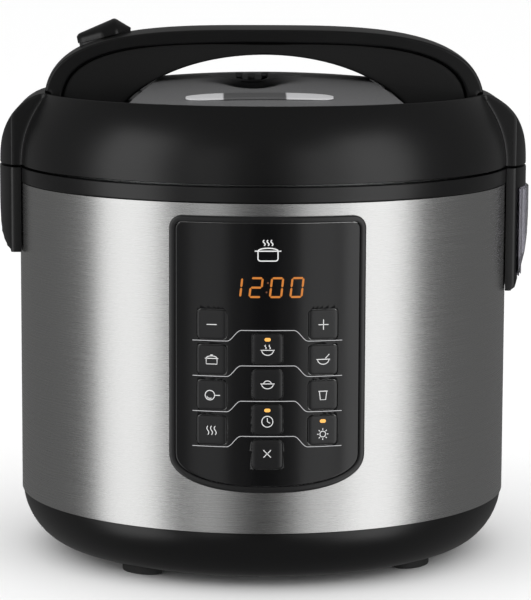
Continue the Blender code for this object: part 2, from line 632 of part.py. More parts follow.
def make_panel():
    start = BODY_RADIUS + GAP
    bezel = curved_panel("panel_bezel", 0, start, BODY_RADIUS + BEZEL_PROUD, GLOSS)
    combine(bezel, curved_panel("bezel opening", BEZEL_WIDTH - GAP, BODY_RADIUS - 4 * MM, BODY_RADIUS + 6 * MM))
    face = curved_panel("panel_face", BEZEL_WIDTH, start, BODY_RADIUS + FACE_PROUD, GLOSS)

    lean = KEY_COLUMN / BODY_RADIUS
    half = KEY_SIZE / 2
    stem = KEY_STEM / 2
    rear = (BODY_RADIUS - 5.5 * MM) * math.cos(lean) - stem * math.sin(lean)
    board_front = rear - KEY_TRAVEL - GAP - SWITCH_HEIGHT
    for name, across, height in key_places():
        angle = abs(across) / BODY_RADIUS
        reach = (rear + stem * math.sin(angle)) / math.cos(angle)
        matrix = facing(across, height, BODY_RADIUS + KEY_PROUD)
        deep = BODY_RADIUS + KEY_PROUD - reach
        cap = 3.2 * MM
        key = block(name, (-half, -half, -cap), (half, half, 0), KEY, matrix)
        foot = block(f"{name} stem", (-stem, -stem, -deep), (stem, stem, -cap / 2), None, matrix)
        combine(key, foot, "UNION")
        reach_out = half + GAP
        hole = block(f"{name} hole", (-reach_out, -reach_out, -10 * MM), (reach_out, reach_out, 10 * MM), None, matrix)
        combine(face, hole)

    lowest = PANEL_BOTTOM + KEY_FIRST
    middle = lowest + 3 * KEY_ROW + DISPLAY_STEP
    wide, tall = DISPLAY_SIZE[0] / 2, DISPLAY_SIZE[1] / 2
    inner_face = math.sqrt((BODY_RADIUS - STEEL_WALL) ** 2 - wide ** 2)
    block("display_module", (-wide, -(inner_face - 0.6 * MM), middle - tall), (wide, -board_front - GAP, middle + tall),
          GLOSS)
    edge = 40 * MM
    board = block("control_board", (-edge, -board_front, lowest - half),
                  (edge, BOARD_WALL - board_front, middle + tall + 4 * MM), BOARD)
    for name, across, height in key_places():
        x = rear * math.tan(across / BODY_RADIUS)
        switch = block(f"{name} switch", (x - 2.5 * MM, -board_front - SWITCH_HEIGHT, height - 2.5 * MM),
                       (x + 2.5 * MM, -board_front + 0.5 * MM, height + 2.5 * MM))
        combine(board, switch, "UNION")


# ---------------------------------------------------------------- lid

def dome_curve(inset, count=5):
    """The dome's side from seam to rim: its radius shrinks with the 2.2 power of the height."""
    points = []
    for step in range(count + 1):
        rise = step / count
        radius = RING_RADIUS - (RING_RADIUS - RIM_RADIUS) * rise ** 2.2 - inset
        points.append((radius, SEAM_Z + LID_HEIGHT * rise))
    return points


def make_lid_shell():
    outside = dome_curve(0)
    outside[-1] = (RIM_RADIUS, RIM_Z - 0.5 * MM)
    recess = RIM_RADIUS - 1.8 * MM
    under = FLOOR_Z - FLOOR_THICKNESS
    inside = [point for point in dome_curve(LID_WALL) if point[1] < under - 1 * MM]
    hole = DISH_RADIUS + 6 * MM
    profile = outside + [(RIM_RADIUS - 0.5 * MM, RIM_Z), (recess, RIM_Z), (recess, FLOOR_Z),
                         (hole, FLOOR_Z), (hole, under), (inside[-1][0] - 1 * MM, under)]
    profile += list(reversed(inside))
    shell = turned("lid_shell", profile, BLACK)

    core_side = dome_curve(LID_WALL / 2)
    core = turned("dome core", [(0, SEAM_Z - 10 * MM), (core_side[0][0], SEAM_Z - 10 * MM)] + core_side
                  + [(core_side[-1][0], RIM_Z + 10 * MM), (0, RIM_Z + 10 * MM)])
    centre = RIM_RADIUS - 4.8 * MM
    width = BODY_RADIUS + EAR_REACH - centre
    height = LID_HEIGHT + 0.5 * MM
    for side, label in ((-1, "left"), (1, "right")):
        ear = lobe(f"{label} ear", EAR_REACH, SEAM_Z, RIM_Z - 0.3 * MM, None, side)
        outline = [(centre + width * math.cos(turn), SEAM_Z + height * math.sin(turn))
                   for turn in [math.pi / 2 * step / 10 for step in range(11)]]
        outline += [(centre - 20 * MM, SEAM_Z + height), (centre - 20 * MM, SEAM_Z - 5 * MM),
                    (centre + width, SEAM_Z - 5 * MM)]
        combine(ear, side_profile(f"{label} ear profile", outline, side), "INTERSECT")
        combine(ear, core)
        combine(shell, ear, "UNION")
    return shell


def plate_height(radius):
    """The grey plate's top: a shallow dome falling with the square of the radius."""
    fall = (PLATE_RISE + PLATE_EDGE_DROP) / (RIM_RADIUS - 1.8 * MM) ** 2
    return RIM_Z + PLATE_RISE - fall * radius ** 2


def grip_opening(height):
    """Half the width of the handle's hand hole, an ellipse, at a height."""
    tall = CROWN - COVER_DEPTH - GRIP_DEPTH + GRIP_DROP
    up = (height - ARCH_Z + GRIP_DROP) / tall
    return (RIM_RADIUS - GRIP_INSET) * math.sqrt(max(1 - up * up, 0))


def waisted(name, inset, low, high):
    """A tool with the plate's plan: two sides that flare from a waist between the handle's feet."""
    waist = grip_opening(plate_height(RIM_RADIUS / 2)) - PLATE_CLEARANCE - inset
    reach = RIM_RADIUS + 10 * MM
    rows = [reach * (step / 8 - 1) for step in range(17)]
    edge = [(waist + PLATE_FLARE * (abs(y) / RIM_RADIUS) ** 1.3, y, low) for y in rows]
    outline = edge + [(-x, y, z) for x, y, z in reversed(edge)]
    return extruded(name, outline, (0, 0, high - low))


def make_top_plate():
    edge = RIM_RADIUS - 2.1 * MM
    low = FLOOR_Z + GAP
    count = 5
    radii = [edge * step / count for step in range(count + 1)]
    profile = [(radius, plate_height(radius)) for radius in radii]
    plate = turned("lid_top_plate", profile + [(edge, low), (0, low)], GREY)
    combine(plate, waisted("plate sides", 0, low - 10 * MM, RIM_Z + 40 * MM), "INTERSECT")
    inner = edge - 2 * MM
    profile = [(inner * step / count, plate_height(inner * step / count) - 2 * MM) for step in range(count + 1)]
    pocket = turned("plate pocket", profile + [(inner, low - 5 * MM), (0, low - 5 * MM)])
    combine(pocket, waisted("pocket sides", 2.5 * MM, low - 20 * MM, RIM_Z + 40 * MM), "INTERSECT")
    combine(plate, pocket)
    hole = rod("dish hole", DISH_RADIUS + GAP, low - 10 * MM, RIM_Z + 40 * MM, None, (DISH_OFFSET, 0, 0), 40)
    combine(plate, hole)

    top = plate_height(DISH_RADIUS) - 0.4 * MM
    bottom = top - DISH_DEPTH
    wall = 1.5 * MM
    floor = 0.6 * DISH_RADIUS
    profile = [(0, bottom), (floor, bottom), (DISH_RADIUS - 1 * MM, top), (DISH_RADIUS, top),
               (DISH_RADIUS, top - 1.5 * MM), (floor + 1.5 * MM, bottom - wall), (0, bottom - wall)]
    dish = turned("steam_vent_cap", profile, GREY, (DISH_OFFSET, 0, 0), 40)
    for index, x in enumerate((-7.5, 0, 7.5)):
        slot = block(f"steam slot {index}", (DISH_OFFSET + (x - 2) * MM, 0.72 * DISH_RADIUS, bottom - 10 * MM),
                     (DISH_OFFSET + (x + 2) * MM, 0.88 * DISH_RADIUS, top + 10 * MM))
        combine(dish, slot)
    make_strip()


def make_strip():
    """The thin strip laid on the front of the plate, following its dome."""
    half = STRIP_LENGTH / 2
    middle = STRIP_INSET - RIM_RADIUS
    count = 12
    shape = bmesh.new()
    rows = []
    for step in range(count + 1):
        x = half * (2 * step / count - 1)
        deep = 9.5 * MM * (1 - (abs(x) / half) ** 6) ** 0.5 + 1.5 * MM
        row = []
        for y, rise in ((middle - deep, GAP), (middle + deep, GAP), (middle + deep, 1 * MM), (middle - deep, 1 * MM)):
            across = STRIP_OFFSET + x
            row.append(shape.verts.new((across, y, plate_height(math.hypot(across, y)) + rise)))
        rows.append(row)
    for one, two in zip(rows, rows[1:]):
        for side_index in range(4):
            after = (side_index + 1) % 4
            shape.faces.new((one[side_index], one[after], two[after], two[side_index]))
    shape.faces.new(rows[0])
    shape.faces.new(list(reversed(rows[-1])))
    add_object("plate_strip", shape, SILVER)


def arch(name, outer, inner, half_width, floor, material=None):
    """The band between two superellipse arches (a, b, n), carried across the handle's width."""
    over = superellipse(*outer, floor, 30)
    under = superellipse(*inner, floor, 30)
    points = over + list(reversed(under))
    outline = [(x, -half_width, ARCH_Z + z) for x, z in points]
    return extruded(name, outline, (0, 2 * half_width, 0), material)


def make_handle(shell):
    floor = HANDLE_SKIRT - RECESS_DEPTH + GAP
    cover_outer = (RIM_RADIUS, CROWN, 3.2)
    cover_inner = (RIM_RADIUS - 10.8 * MM, CROWN - COVER_DEPTH, 3.4)
    cover = arch("handle_cover", cover_outer, cover_inner, HANDLE_HALF_WIDTH, floor, BLACK)
    hollow_outer = (cover_outer[0] - HANDLE_WALL, cover_outer[1] - HANDLE_WALL, 3.2)
    hollow_inner = (cover_inner[0] - 1.5 * MM, cover_inner[1] - 1.5 * MM, 3.4)
    hollow = arch("cover hollow", hollow_outer, hollow_inner, HANDLE_HALF_WIDTH - HANDLE_WALL, 0)
    combine(cover, hollow)
    recess = RIM_RADIUS - 1.8 * MM
    lip = turned("lip clearance", [(recess - GAP, RIM_Z + GAP), (recess - GAP, FLOOR_Z - 20 * MM),
                                   (recess + 30 * MM, FLOOR_Z - 20 * MM), (recess + 30 * MM, RIM_Z + GAP)])
    combine(cover, lip)

    base_outer = (cover_inner[0] - GAP, cover_inner[1] - GAP, 3.4)
    drop = GRIP_DROP
    base_inner = (RIM_RADIUS - GRIP_INSET, CROWN - COVER_DEPTH - GRIP_DEPTH + drop, 2.0)
    half = HANDLE_HALF_WIDTH - GRIP_NARROWER
    base = grip("handle_base", base_outer, base_inner, half, floor, drop, BLACK)
    trough_outer = (base_outer[0] - HANDLE_WALL, base_outer[1] + 2 * MM, 3.4)
    trough_inner = (base_inner[0] + HANDLE_WALL, base_inner[1] + HANDLE_WALL, 2.0)
    trough = grip("base trough", trough_outer, trough_inner, half - HANDLE_WALL, floor + HANDLE_WALL, drop)
    combine(base, trough)
    tube_x = -(RIM_RADIUS - TUBE_INSET)
    bore = rod("tube bore", 4.5 * MM, FLOOR_Z - 10 * MM, FLOOR_Z + 10 * MM, None, (tube_x, 0, 0), 16)
    combine(base, bore)
    combine(shell, bore)
    for label, x in (("left", tube_x - 11.5 * MM), ("right", RIM_RADIUS - 30 * MM)):
        under = FLOOR_Z - FLOOR_THICKNESS - GAP
        head = under - 2.6 * MM
        tip = FLOOR_Z + 8 * MM
        profile = [(0, head), (3.6 * MM, head), (3.6 * MM, under), (1.8 * MM, under), (1.8 * MM, tip), (0, tip)]
        turned(f"handle_screw_{label}", profile, STEEL, (x, 0, 0), 12)
        hole = rod(f"{label} handle screw hole", 2.1 * MM, FLOOR_Z - 10 * MM, FLOOR_Z + 5 * MM, None, (x, 0, 0), 12)
        combine(base, hole)
        combine(shell, hole)
    make_knob(cover)


def grip(name, outer, inner, half_width, floor, drop, material=None):
    """Like arch, but the lower ellipse has its centre a named drop below the upper one."""
    over = superellipse(*outer, floor, 30)
    under = [(x, z - drop) for x, z in superellipse(*inner, floor + drop, 24)]
    points = over + list(reversed(under))
    outline = [(x, -half_width, ARCH_Z + z) for x, z in points]
    return extruded(name, outline, (0, 2 * half_width, 0), material)


def knob_frame():
    """Axis of the knob: where it meets the cover's arch, leaning with the arch's normal."""
    x = RIM_RADIUS - KNOB_INSET
    share = (x / RIM_RADIUS) ** 3.2
    height = CROWN * (1 - share) ** (1 / 3.2)
    slope = CROWN / RIM_RADIUS * (x / RIM_RADIUS) ** 2.2 * (1 - share) ** (1 / 3.2 - 1)
    lean = -math.atan(slope)
    matrix = Matrix.Rotation(lean, 4, "Y")
    matrix.translation = (-x, 0, ARCH_Z + height)
    return matrix


def make_knob(cover):
    matrix = knob_frame()
    low = 0.5 * MM
    back, front = -KNOB_LENGTH * 0.55, KNOB_LENGTH * 0.45
    wide = KNOB_WIDTH / 2
    shape = bmesh.new()
    base_points = [(back, 0.45 * wide), (-2 * MM, wide), (0.45 * front, 0.96 * wide), (front, 0.3 * wide)]
    points = []
    for x, y in base_points:
        points += [(x, y, low), (x, -y, low)]
    points += [(back, 0.35 * wide, low + 5.5 * MM), (back, -0.35 * wide, low + 5.5 * MM)]
    points += [(4 * MM, 0.78 * wide, low + 0.6 * KNOB_HEIGHT), (4 * MM, -0.78 * wide, low + 0.6 * KNOB_HEIGHT)]
    points += [(6 * MM, 3 * MM, low + KNOB_HEIGHT), (6 * MM, -3 * MM, low + KNOB_HEIGHT)]
    points += [(front, 0.2 * wide, low + 1.5 * MM), (front, -0.2 * wide, low + 1.5 * MM)]
    verts = [shape.verts.new(point) for point in points]
    hull = bmesh.ops.convex_hull(shape, input=verts)
    loose = [part for part in hull["geom_interior"] if isinstance(part, bmesh.types.BMVert)]
    bmesh.ops.delete(shape, geom=loose, context="VERTS")
    knob = add_object("pressure_release_knob", shape, BLACK, matrix=matrix)
    stem = turned("knob stem", [(0, -8 * MM), (3 * MM, -8 * MM), (3 * MM, 2 * MM), (0, 2 * MM)], None,
                  segments=16)
    stem.matrix_world = matrix
    combine(knob, stem, "UNION")
    hole = turned("knob hole", [(0, -15 * MM), (3.5 * MM, -15 * MM), (3.5 * MM, 5 * MM), (0, 5 * MM)], None,
                  segments=16)
    hole.matrix_world = matrix
    combine(cover, hole)


# ---------------------------------------------------------------- inside of the lid

def make_inner_lid():
    top = INNER_LID_Z
    skirt_in = SKIRT_RADIUS - LID_SHEET
    middle = BODY_RADIUS - 40 * MM
    outside = [(0, top + 4 * MM), (middle, top + 1.5 * MM), (middle + 22 * MM, top + 1.5 * MM),
               (SKIRT_RADIUS, top - 1.5 * MM), (SKIRT_RADIUS, SKIRT_BOTTOM)]
    inside = [(skirt_in, SKIRT_BOTTOM), (skirt_in, top - 2.4 * MM), (middle + 21.5 * MM, top),
              (middle, top), (0, top + 2.5 * MM)]
    lid = turned("inner_lid", outside + inside, POT_METAL)
    lugs = tooth_ring("lid lugs", SKIRT_BOTTOM - 0.02 * MM, LUG_TOP, VESSEL_RADIUS + 2.7 * MM,
                      SKIRT_RADIUS - 0.6 * MM, 30)
    combine(lid, lugs, "UNION")

    tube_x = -(RIM_RADIUS - TUBE_INSET)
    sheet_top = top + 1.9 * MM
    profile = [(2 * MM, sheet_top), (6 * MM, sheet_top), (6 * MM, sheet_top + 2 * MM), (3.5 * MM, sheet_top + 2 * MM),
               (3.5 * MM, RIM_Z + 19 * MM), (2 * MM, RIM_Z + 19 * MM)]
    turned("release_valve_tube", profile, ALUMINIUM, (tube_x, 0, 0), 16)
    combine(lid, rod("valve hole", 2 * MM, top - 10 * MM, top + 10 * MM, None, (tube_x, 0, 0), 12))
    low = top - 7 * MM
    profile = [(0, low), (11 * MM, low), (11 * MM, top - 0.5 * MM), (9.8 * MM, top - 0.5 * MM),
               (9.8 * MM, low + 1.2 * MM), (0, low + 1.2 * MM)]
    turned("steam_filter_cap", profile, POT_METAL, (tube_x, 0, 0), SMALL_SEGMENTS)

    float_place = (*around(BODY_RADIUS - 72 * MM, 36), 0)
    disc = top + 3.1 * MM
    seal = top - 5.2 * MM
    profile = [(0, seal), (2.2 * MM, seal), (2.2 * MM, disc), (4.5 * MM, disc), (4.5 * MM, disc + 1.5 * MM),
               (0, disc + 1.5 * MM)]
    turned("float_valve_pin", profile, ALUMINIUM, float_place, 16)
    rod("float_valve_seal", 4.3 * MM, seal - GAP - 2.4 * MM, seal - GAP, SILICONE, float_place, 16)
    combine(lid, rod("float hole", 2.7 * MM, top - 10 * MM, top + 10 * MM, None, float_place, 16))

    ring_low = RIM_LIFT + 1.8 * MM + GAP
    inner = POT_RADIUS - 0.5 * MM
    outer = POT_RADIUS + POT_RIM + 1 * MM
    profile = [(inner, ring_low), (outer, ring_low), (outer, top - 0.4 * MM), (outer - 3.5 * MM, top - 0.4 * MM),
               (outer - 3.5 * MM, ring_low + 3 * MM), (inner, ring_low + 3 * MM)]
    turned("sealing_ring", profile, SILICONE)
    rack = inner - 0.8 * MM
    profile = [(rack - 2 * MM, ring_low + 5 * MM), (rack, ring_low + 5 * MM), (rack, ring_low + 7 * MM),
               (rack - 2 * MM, ring_low + 7 * MM)]
    turned("sealing_ring_rack", profile, STEEL)


def build():
    clear_scene()
    make_base()
    steel = make_steel_housing()
    make_top_ring()
    make_vessel()
    make_inner_pot()
    make_electrics()
    make_power_socket(steel)
    make_brackets()
    make_panel()
    shell = make_lid_shell()
    make_top_plate()
    make_handle(shell)
    make_inner_lid()


build()
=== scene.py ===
"""An electric pressure cooker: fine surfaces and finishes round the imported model.

Metres, +Z up, front towards -Y, origin on the table under the middle of the body.
"""
import math

import bmesh
import bpy
import numpy as np
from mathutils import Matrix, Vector


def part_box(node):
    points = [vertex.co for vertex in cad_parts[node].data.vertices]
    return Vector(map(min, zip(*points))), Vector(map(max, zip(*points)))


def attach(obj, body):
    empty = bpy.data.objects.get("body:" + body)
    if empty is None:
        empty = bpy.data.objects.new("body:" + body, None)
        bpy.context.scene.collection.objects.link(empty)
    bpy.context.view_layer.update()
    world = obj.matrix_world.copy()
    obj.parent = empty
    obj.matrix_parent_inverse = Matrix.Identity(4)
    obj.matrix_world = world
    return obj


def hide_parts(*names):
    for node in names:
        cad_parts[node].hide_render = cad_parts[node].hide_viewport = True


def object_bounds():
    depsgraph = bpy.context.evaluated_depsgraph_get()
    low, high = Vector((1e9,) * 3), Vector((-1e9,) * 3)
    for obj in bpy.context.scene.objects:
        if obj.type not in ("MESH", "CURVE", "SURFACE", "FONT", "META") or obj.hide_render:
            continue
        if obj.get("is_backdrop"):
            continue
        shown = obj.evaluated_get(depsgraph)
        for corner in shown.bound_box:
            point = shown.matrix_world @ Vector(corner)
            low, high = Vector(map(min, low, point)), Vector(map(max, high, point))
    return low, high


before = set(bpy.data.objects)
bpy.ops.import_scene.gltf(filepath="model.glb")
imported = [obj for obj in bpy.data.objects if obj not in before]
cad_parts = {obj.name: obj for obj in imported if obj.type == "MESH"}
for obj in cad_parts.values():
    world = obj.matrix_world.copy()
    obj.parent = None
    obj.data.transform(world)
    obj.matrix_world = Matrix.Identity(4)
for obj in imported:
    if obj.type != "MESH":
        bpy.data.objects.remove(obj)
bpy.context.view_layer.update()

# ---------------------------------------------------------------- camera, floor and lights
# A product picture on a white table: a long lens a little above the lid, two tall soft
# boxes left and right of the camera, and dimmer fill cards with a black flag between them.
# The table is left out of reflections, which see the cards go on below it.

eye_distance, eye_height, eye_pitch = 1.6134, 0.3703, 8.08
eye_azimuth, eye_roll = -1.1, -0.23
turn = math.radians(eye_azimuth)
lens = bpy.data.cameras.new("camera")
lens.sensor_width = 36
lens.lens = 168.07
lens.shift_x = 0.002
lens.clip_start, lens.clip_end = 0.1, 60
camera = bpy.data.objects.new("camera", lens)
camera.location = (eye_distance * math.sin(turn), -eye_distance * math.cos(turn), eye_height)
camera.rotation_euler = (math.radians(90 - eye_pitch), math.radians(eye_roll), turn)
bpy.context.collection.objects.link(camera)
bpy.context.scene.camera = camera
bpy.context.scene.view_settings.view_transform = "Standard"


def paint(name, colour, roughness, metallic=0.0):
    """A plain material, whose shader and nodes the caller goes on with."""
    material = bpy.data.materials.new(name)
    material.use_nodes = True
    shader = material.node_tree.nodes["Principled BSDF"]
    shader.inputs["Base Color"].default_value = (*colour, 1)
    shader.inputs["Roughness"].default_value = roughness
    shader.inputs["Metallic"].default_value = metallic
    material.diffuse_color = (*colour, 1)
    return material, shader


table_mesh = bpy.data.meshes.new("table")
table_half = 14.0
table_mesh.from_pydata([(x, y, 0) for x, y in ((-table_half, -table_half), (table_half, -table_half),
                                               (table_half, table_half), (-table_half, table_half))],
                       [], [(0, 1, 2, 3)])
table_mesh.materials.append(paint("white table", (0.86, 0.86, 0.86), 0.9)[0])
table = bpy.data.objects.new("table", table_mesh)
table.visible_glossy = False
bpy.context.collection.objects.link(table)
table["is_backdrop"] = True


def light_card(name, azimuth, distance, height, size, power):
    """A rectangular soft box that faces the cooker's middle; azimuth is from the camera, left negative."""
    lamp = bpy.data.lights.new(name, "AREA")
    lamp.shape = "RECTANGLE"
    lamp.size, lamp.size_y = size
    lamp.energy = power
    card = bpy.data.objects.new(name, lamp)
    around = math.radians(azimuth)
    card.location = (distance * math.sin(around), -distance * math.cos(around), height)
    aim = Vector((0, 0, 0.13)) - card.location
    card.rotation_euler = aim.to_track_quat("-Z", "Y").to_euler()
    card.visible_camera = False
    bpy.context.collection.objects.link(card)


light_card("left soft box", -62.5, 1.3, 0.15, (0.80, 2.0), 7.0)
light_card("right soft box", 51, 1.3, 0.15, (0.78, 2.0), 7.0)
light_card("left fill", -25, 1.75, 0.15, (0.52, 2.0), 1.5)
light_card("right fill", 24, 1.75, 0.15, (0.54, 2.0), 2.7)

flag_mesh = bpy.data.meshes.new("dark flag")
flag_y, flag_half, flag_low, flag_top = -1.9, 0.20, -1.0, 1.3
flag_mesh.from_pydata([(-flag_half, flag_y, flag_low), (flag_half, flag_y, flag_low),
                       (flag_half, flag_y, flag_top),
                       (-flag_half, flag_y, flag_top)], [], [(0, 1, 2, 3)])
flag_mesh.materials.append(paint("flag black", (0.01, 0.01, 0.01), 0.9)[0])
flag = bpy.data.objects.new("dark flag", flag_mesh)
flag.visible_camera = flag.visible_diffuse = flag.visible_shadow = False
bpy.context.collection.objects.link(flag)
flag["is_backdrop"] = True

sky = bpy.data.worlds.new("studio")
sky.use_nodes = True
bpy.context.scene.world = sky
nodes, links = sky.node_tree.nodes, sky.node_tree.links
ray = nodes.new("ShaderNodeLightPath")
level = nodes.new("ShaderNodeMix")
level.inputs["A"].default_value = 1.25
level.inputs["B"].default_value = 0.14
links.new(ray.outputs["Is Glossy Ray"], level.inputs["Factor"])
links.new(level.outputs["Result"], nodes["Background"].inputs["Strength"])
nodes["Background"].inputs["Color"].default_value = (1, 1, 1, 1)

# ---------------------------------------------------------------- bowl-shaped base
# The base is one moulding in satin black plastic: a bowl that turns in under the steel
# skin to a flat foot ring.  It is a turned profile, and the grain is moulded in.


def put(name, verts, faces, body, slot, material, *nodes, sharp=35):
    """Make a mesh piece: meeting points are merged, faces turned outwards, edges over `sharp` kept crisp."""
    mesh = bpy.data.meshes.new(name)
    mesh.from_pydata(np.asarray(verts).reshape(-1, 3).tolist(), [], [list(face) for face in faces])
    shape = bmesh.new()
    shape.from_mesh(mesh)
    bmesh.ops.remove_doubles(shape, verts=shape.verts, dist=2e-6)
    bmesh.ops.dissolve_degenerate(shape, edges=shape.edges, dist=1e-6)
    bmesh.ops.recalc_face_normals(shape, faces=shape.faces)
    shape.to_mesh(mesh)
    shape.free()
    mesh.shade_smooth()
    mesh.set_sharp_from_angle(angle=math.radians(sharp))
    mesh.materials.append(material)
    piece = bpy.data.objects.new(name, mesh)
    bpy.context.collection.objects.link(piece)
    if body:
        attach(piece, body)
        if nodes:
            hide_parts(*nodes)
    return piece


def quads(rows, columns, wrap_rows=False, start=0):
    """Faces of a grid of points numbered row by row, closed round its columns and, if asked, its rows."""
    row = np.arange(rows if wrap_rows else rows - 1)[:, None]
    column = np.arange(columns)[None, :]
    under, beside = (row + 1) % rows, (column + 1) % columns
    corners = [row * columns + column, row * columns + beside, under * columns + beside,
               under * columns + column]
    return (np.stack([corner + 0 * row + 0 * column for corner in corners], -1) + start).reshape(-1, 4)


def loft(name, sections, body, slot, material, *nodes, closed=False, sharp=35):
    """Skin closed sections (n, m, 3) in turn, with flat caps at both ends unless the last meets the first."""
    count, around = sections.shape[:2]
    faces = quads(count, around, wrap_rows=closed).tolist()
    if not closed:
        faces += [list(range(around)), list(range((count - 1) * around, count * around))]
    return put(name, sections, faces, body, slot, material, *nodes, sharp=sharp)


def fillet(points, radius, closed=True, steps=4):
    """Round the corners of an outline: each corner over 20 degrees becomes a short parabola."""
    points = np.asarray(points, float)
    back, ahead = np.roll(points, 1, 0) - points, np.roll(points, -1, 0) - points
    back_long = np.maximum(np.linalg.norm(back, axis=1), 1e-9)
    ahead_long = np.maximum(np.linalg.norm(ahead, axis=1), 1e-9)
    bend = np.degrees(np.arccos(np.clip(-(back * ahead).sum(1) / back_long / ahead_long, -1, 1)))
    cut = np.where(bend > 20, np.minimum(radius, 0.45 * np.minimum(back_long, ahead_long)), 0.0)
    if not closed:
        cut[[0, -1]] = 0
    first = points + back * (cut / back_long)[:, None]
    last = points + ahead * (cut / ahead_long)[:, None]
    share = np.linspace(0, 1, steps + 1)[:, None, None]
    curve = (1 - share) ** 2 * first + 2 * share * (1 - share) * points + share ** 2 * last
    curve = curve.transpose(1, 0, 2).reshape(-1, 2)
    keep = np.linalg.norm(curve - np.roll(curve, 1, 0), axis=1) > 1e-7
    return curve[keep]


def revolve(profile, segments=192, place=(0, 0)):
    """Points (rows, segments, 3) of a (radius, height) profile turned about a vertical axis."""
    turn = np.arange(segments) / segments * math.tau
    radius, height = np.asarray(profile).T
    points = np.stack([radius[:, None] * np.cos(turn), radius[:, None] * np.sin(turn),
                       height[:, None] + 0 * turn], -1)
    return points + np.array([*place, 0])


def turned(name, profile, body, slot, material, *nodes, radius=0.0006, segments=192, place=(0, 0), sharp=35):
    """A turned piece: a closed (radius, height) outline, or one that starts and ends on the axis."""
    solid = profile[0][0] == 0 and profile[-1][0] == 0
    outline = fillet(profile, radius, closed=not solid)
    points = revolve(outline, segments, place)
    faces = quads(len(outline), segments, wrap_rows=not solid)
    return put(name, points, faces, body, slot, material, *nodes, sharp=sharp)


def shader_group(name, inputs, outputs):
    """An empty node group with named float inputs and named (name, type) outputs."""
    group = bpy.data.node_groups.new(name, "ShaderNodeTree")
    for label, value in inputs.items():
        socket = group.interface.new_socket(label, in_out="INPUT", socket_type="NodeSocketFloat")
        socket.default_value = value
    for label, kind in outputs.items():
        group.interface.new_socket(label, in_out="OUTPUT", socket_type=kind)
    entry = group.nodes.new("NodeGroupInput")
    leave = group.nodes.new("NodeGroupOutput")
    return group, entry.outputs, leave.inputs


def wire(tree, kind, settings=None, **sources):
    """Add a node; sources are links or values by socket name, with _ for a space."""
    node = tree.nodes.new(kind)
    for label, value in (settings or {}).items():
        setattr(node, label, value)
    for label, source in sources.items():
        key = label.replace("_", " ")
        socket = node.inputs[int(key[1:])] if key[0] == "i" and key[1:].isdigit() else node.inputs[key]
        if isinstance(source, bpy.types.NodeSocket):
            tree.links.new(source, socket)
        else:
            socket.default_value = source
    return node


def moulded_grain():
    """Moulded plastic: a fine spark-eroded grain and slow patches of more and less gloss."""
    group, entry, leave = shader_group(
        "moulded grain", {"Grain per metre": 1400, "Depth": 0.12, "Roughness": 0.4, "Patches": 0.05},
        {"Roughness": "NodeSocketFloat", "Normal": "NodeSocketVector"})
    where = wire(group, "ShaderNodeTexCoord").outputs["Object"]
    grain = wire(group, "ShaderNodeTexNoise", Vector=where, Scale=entry["Grain per metre"], Detail=3.0)
    patch = wire(group, "ShaderNodeTexNoise", Vector=where, Scale=26.0, Detail=4.0)
    centred = wire(group, "ShaderNodeMath", {"operation": "SUBTRACT"}, i0=patch.outputs["Fac"], i1=0.5)
    spread = wire(group, "ShaderNodeMath", {"operation": "MULTIPLY_ADD"}, i0=centred.outputs[0],
                  i1=entry["Patches"], i2=entry["Roughness"])
    bump = wire(group, "ShaderNodeBump", Height=grain.outputs["Fac"], Strength=entry["Depth"],
                Distance=0.0004)
    group.links.new(spread.outputs[0], leave["Roughness"])
    group.links.new(bump.outputs["Normal"], leave["Normal"])
    return group


grain_group = moulded_grain()


def plastic(name, colour, roughness, grain=1400, depth=0.12, patches=0.08):
    """A moulded plastic or rubber with the grain group."""
    material, shader = paint(name, colour, roughness)
    tree = material.node_tree
    grained = wire(tree, "ShaderNodeGroup", {"node_tree": grain_group}, Grain_per_metre=grain, Depth=depth,
                   Roughness=roughness, Patches=patches)
    tree.links.new(grained.outputs["Roughness"], shader.inputs["Roughness"])
    tree.links.new(grained.outputs["Normal"], shader.inputs["Normal"])
    return material


def dress(material, *names):
    """Give CAD nodes that keep their own shape a finished material."""
    for name in names:
        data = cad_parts[name].data
        data.materials.clear()
        data.materials.append(material)


satin_black = plastic("satin black plastic", (0.0026, 0.0026, 0.0028), 0.31, depth=0.10)

MM = 0.001
base_low, base_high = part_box("base_shell")
steel_low, steel_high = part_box("steel_housing")
body_radius = steel_high.x
bowl_inset = 21 * MM
bowl_turn = np.linspace(0, math.pi / 2, 28)
bowl_flat = body_radius - bowl_inset - 0.8 * MM
bowl_top = steel_low.z - 0.3 * MM


def bowl_side(inset):
    """A quarter of |x|^1.7 + |z|^1.7 = 1, from the steel's lower edge in to the flat foot ring."""
    out = bowl_flat + (bowl_inset - inset) * np.cos(bowl_turn) ** (2 / 1.7)
    down = bowl_top - (bowl_top - base_low.z - inset) * np.sin(bowl_turn) ** (2 / 1.7)
    return np.stack([out, down], -1)


spigot = body_radius - 1.3 * MM
cover_radius = body_radius - 42 * MM
base_outline = np.concatenate([
    bowl_side(0), [(cover_radius, base_low.z), (cover_radius, base_low.z + 5.3 * MM)],
    bowl_side(2.5 * MM)[::-1][4:-1],
    [(spigot - 2.5 * MM, bowl_top), (spigot - 2.5 * MM, base_high.z), (spigot, base_high.z),
     (spigot, bowl_top)]])
turned("base_bowl", base_outline, "base", "black_plastic", satin_black, "base_shell")

# ---------------------------------------------------------------- feet, bottom cover and its screws
# Four oval rubber feet are glued into the foot ring.  A flat plastic cover with air slots
# closes the underside, held by three screws.

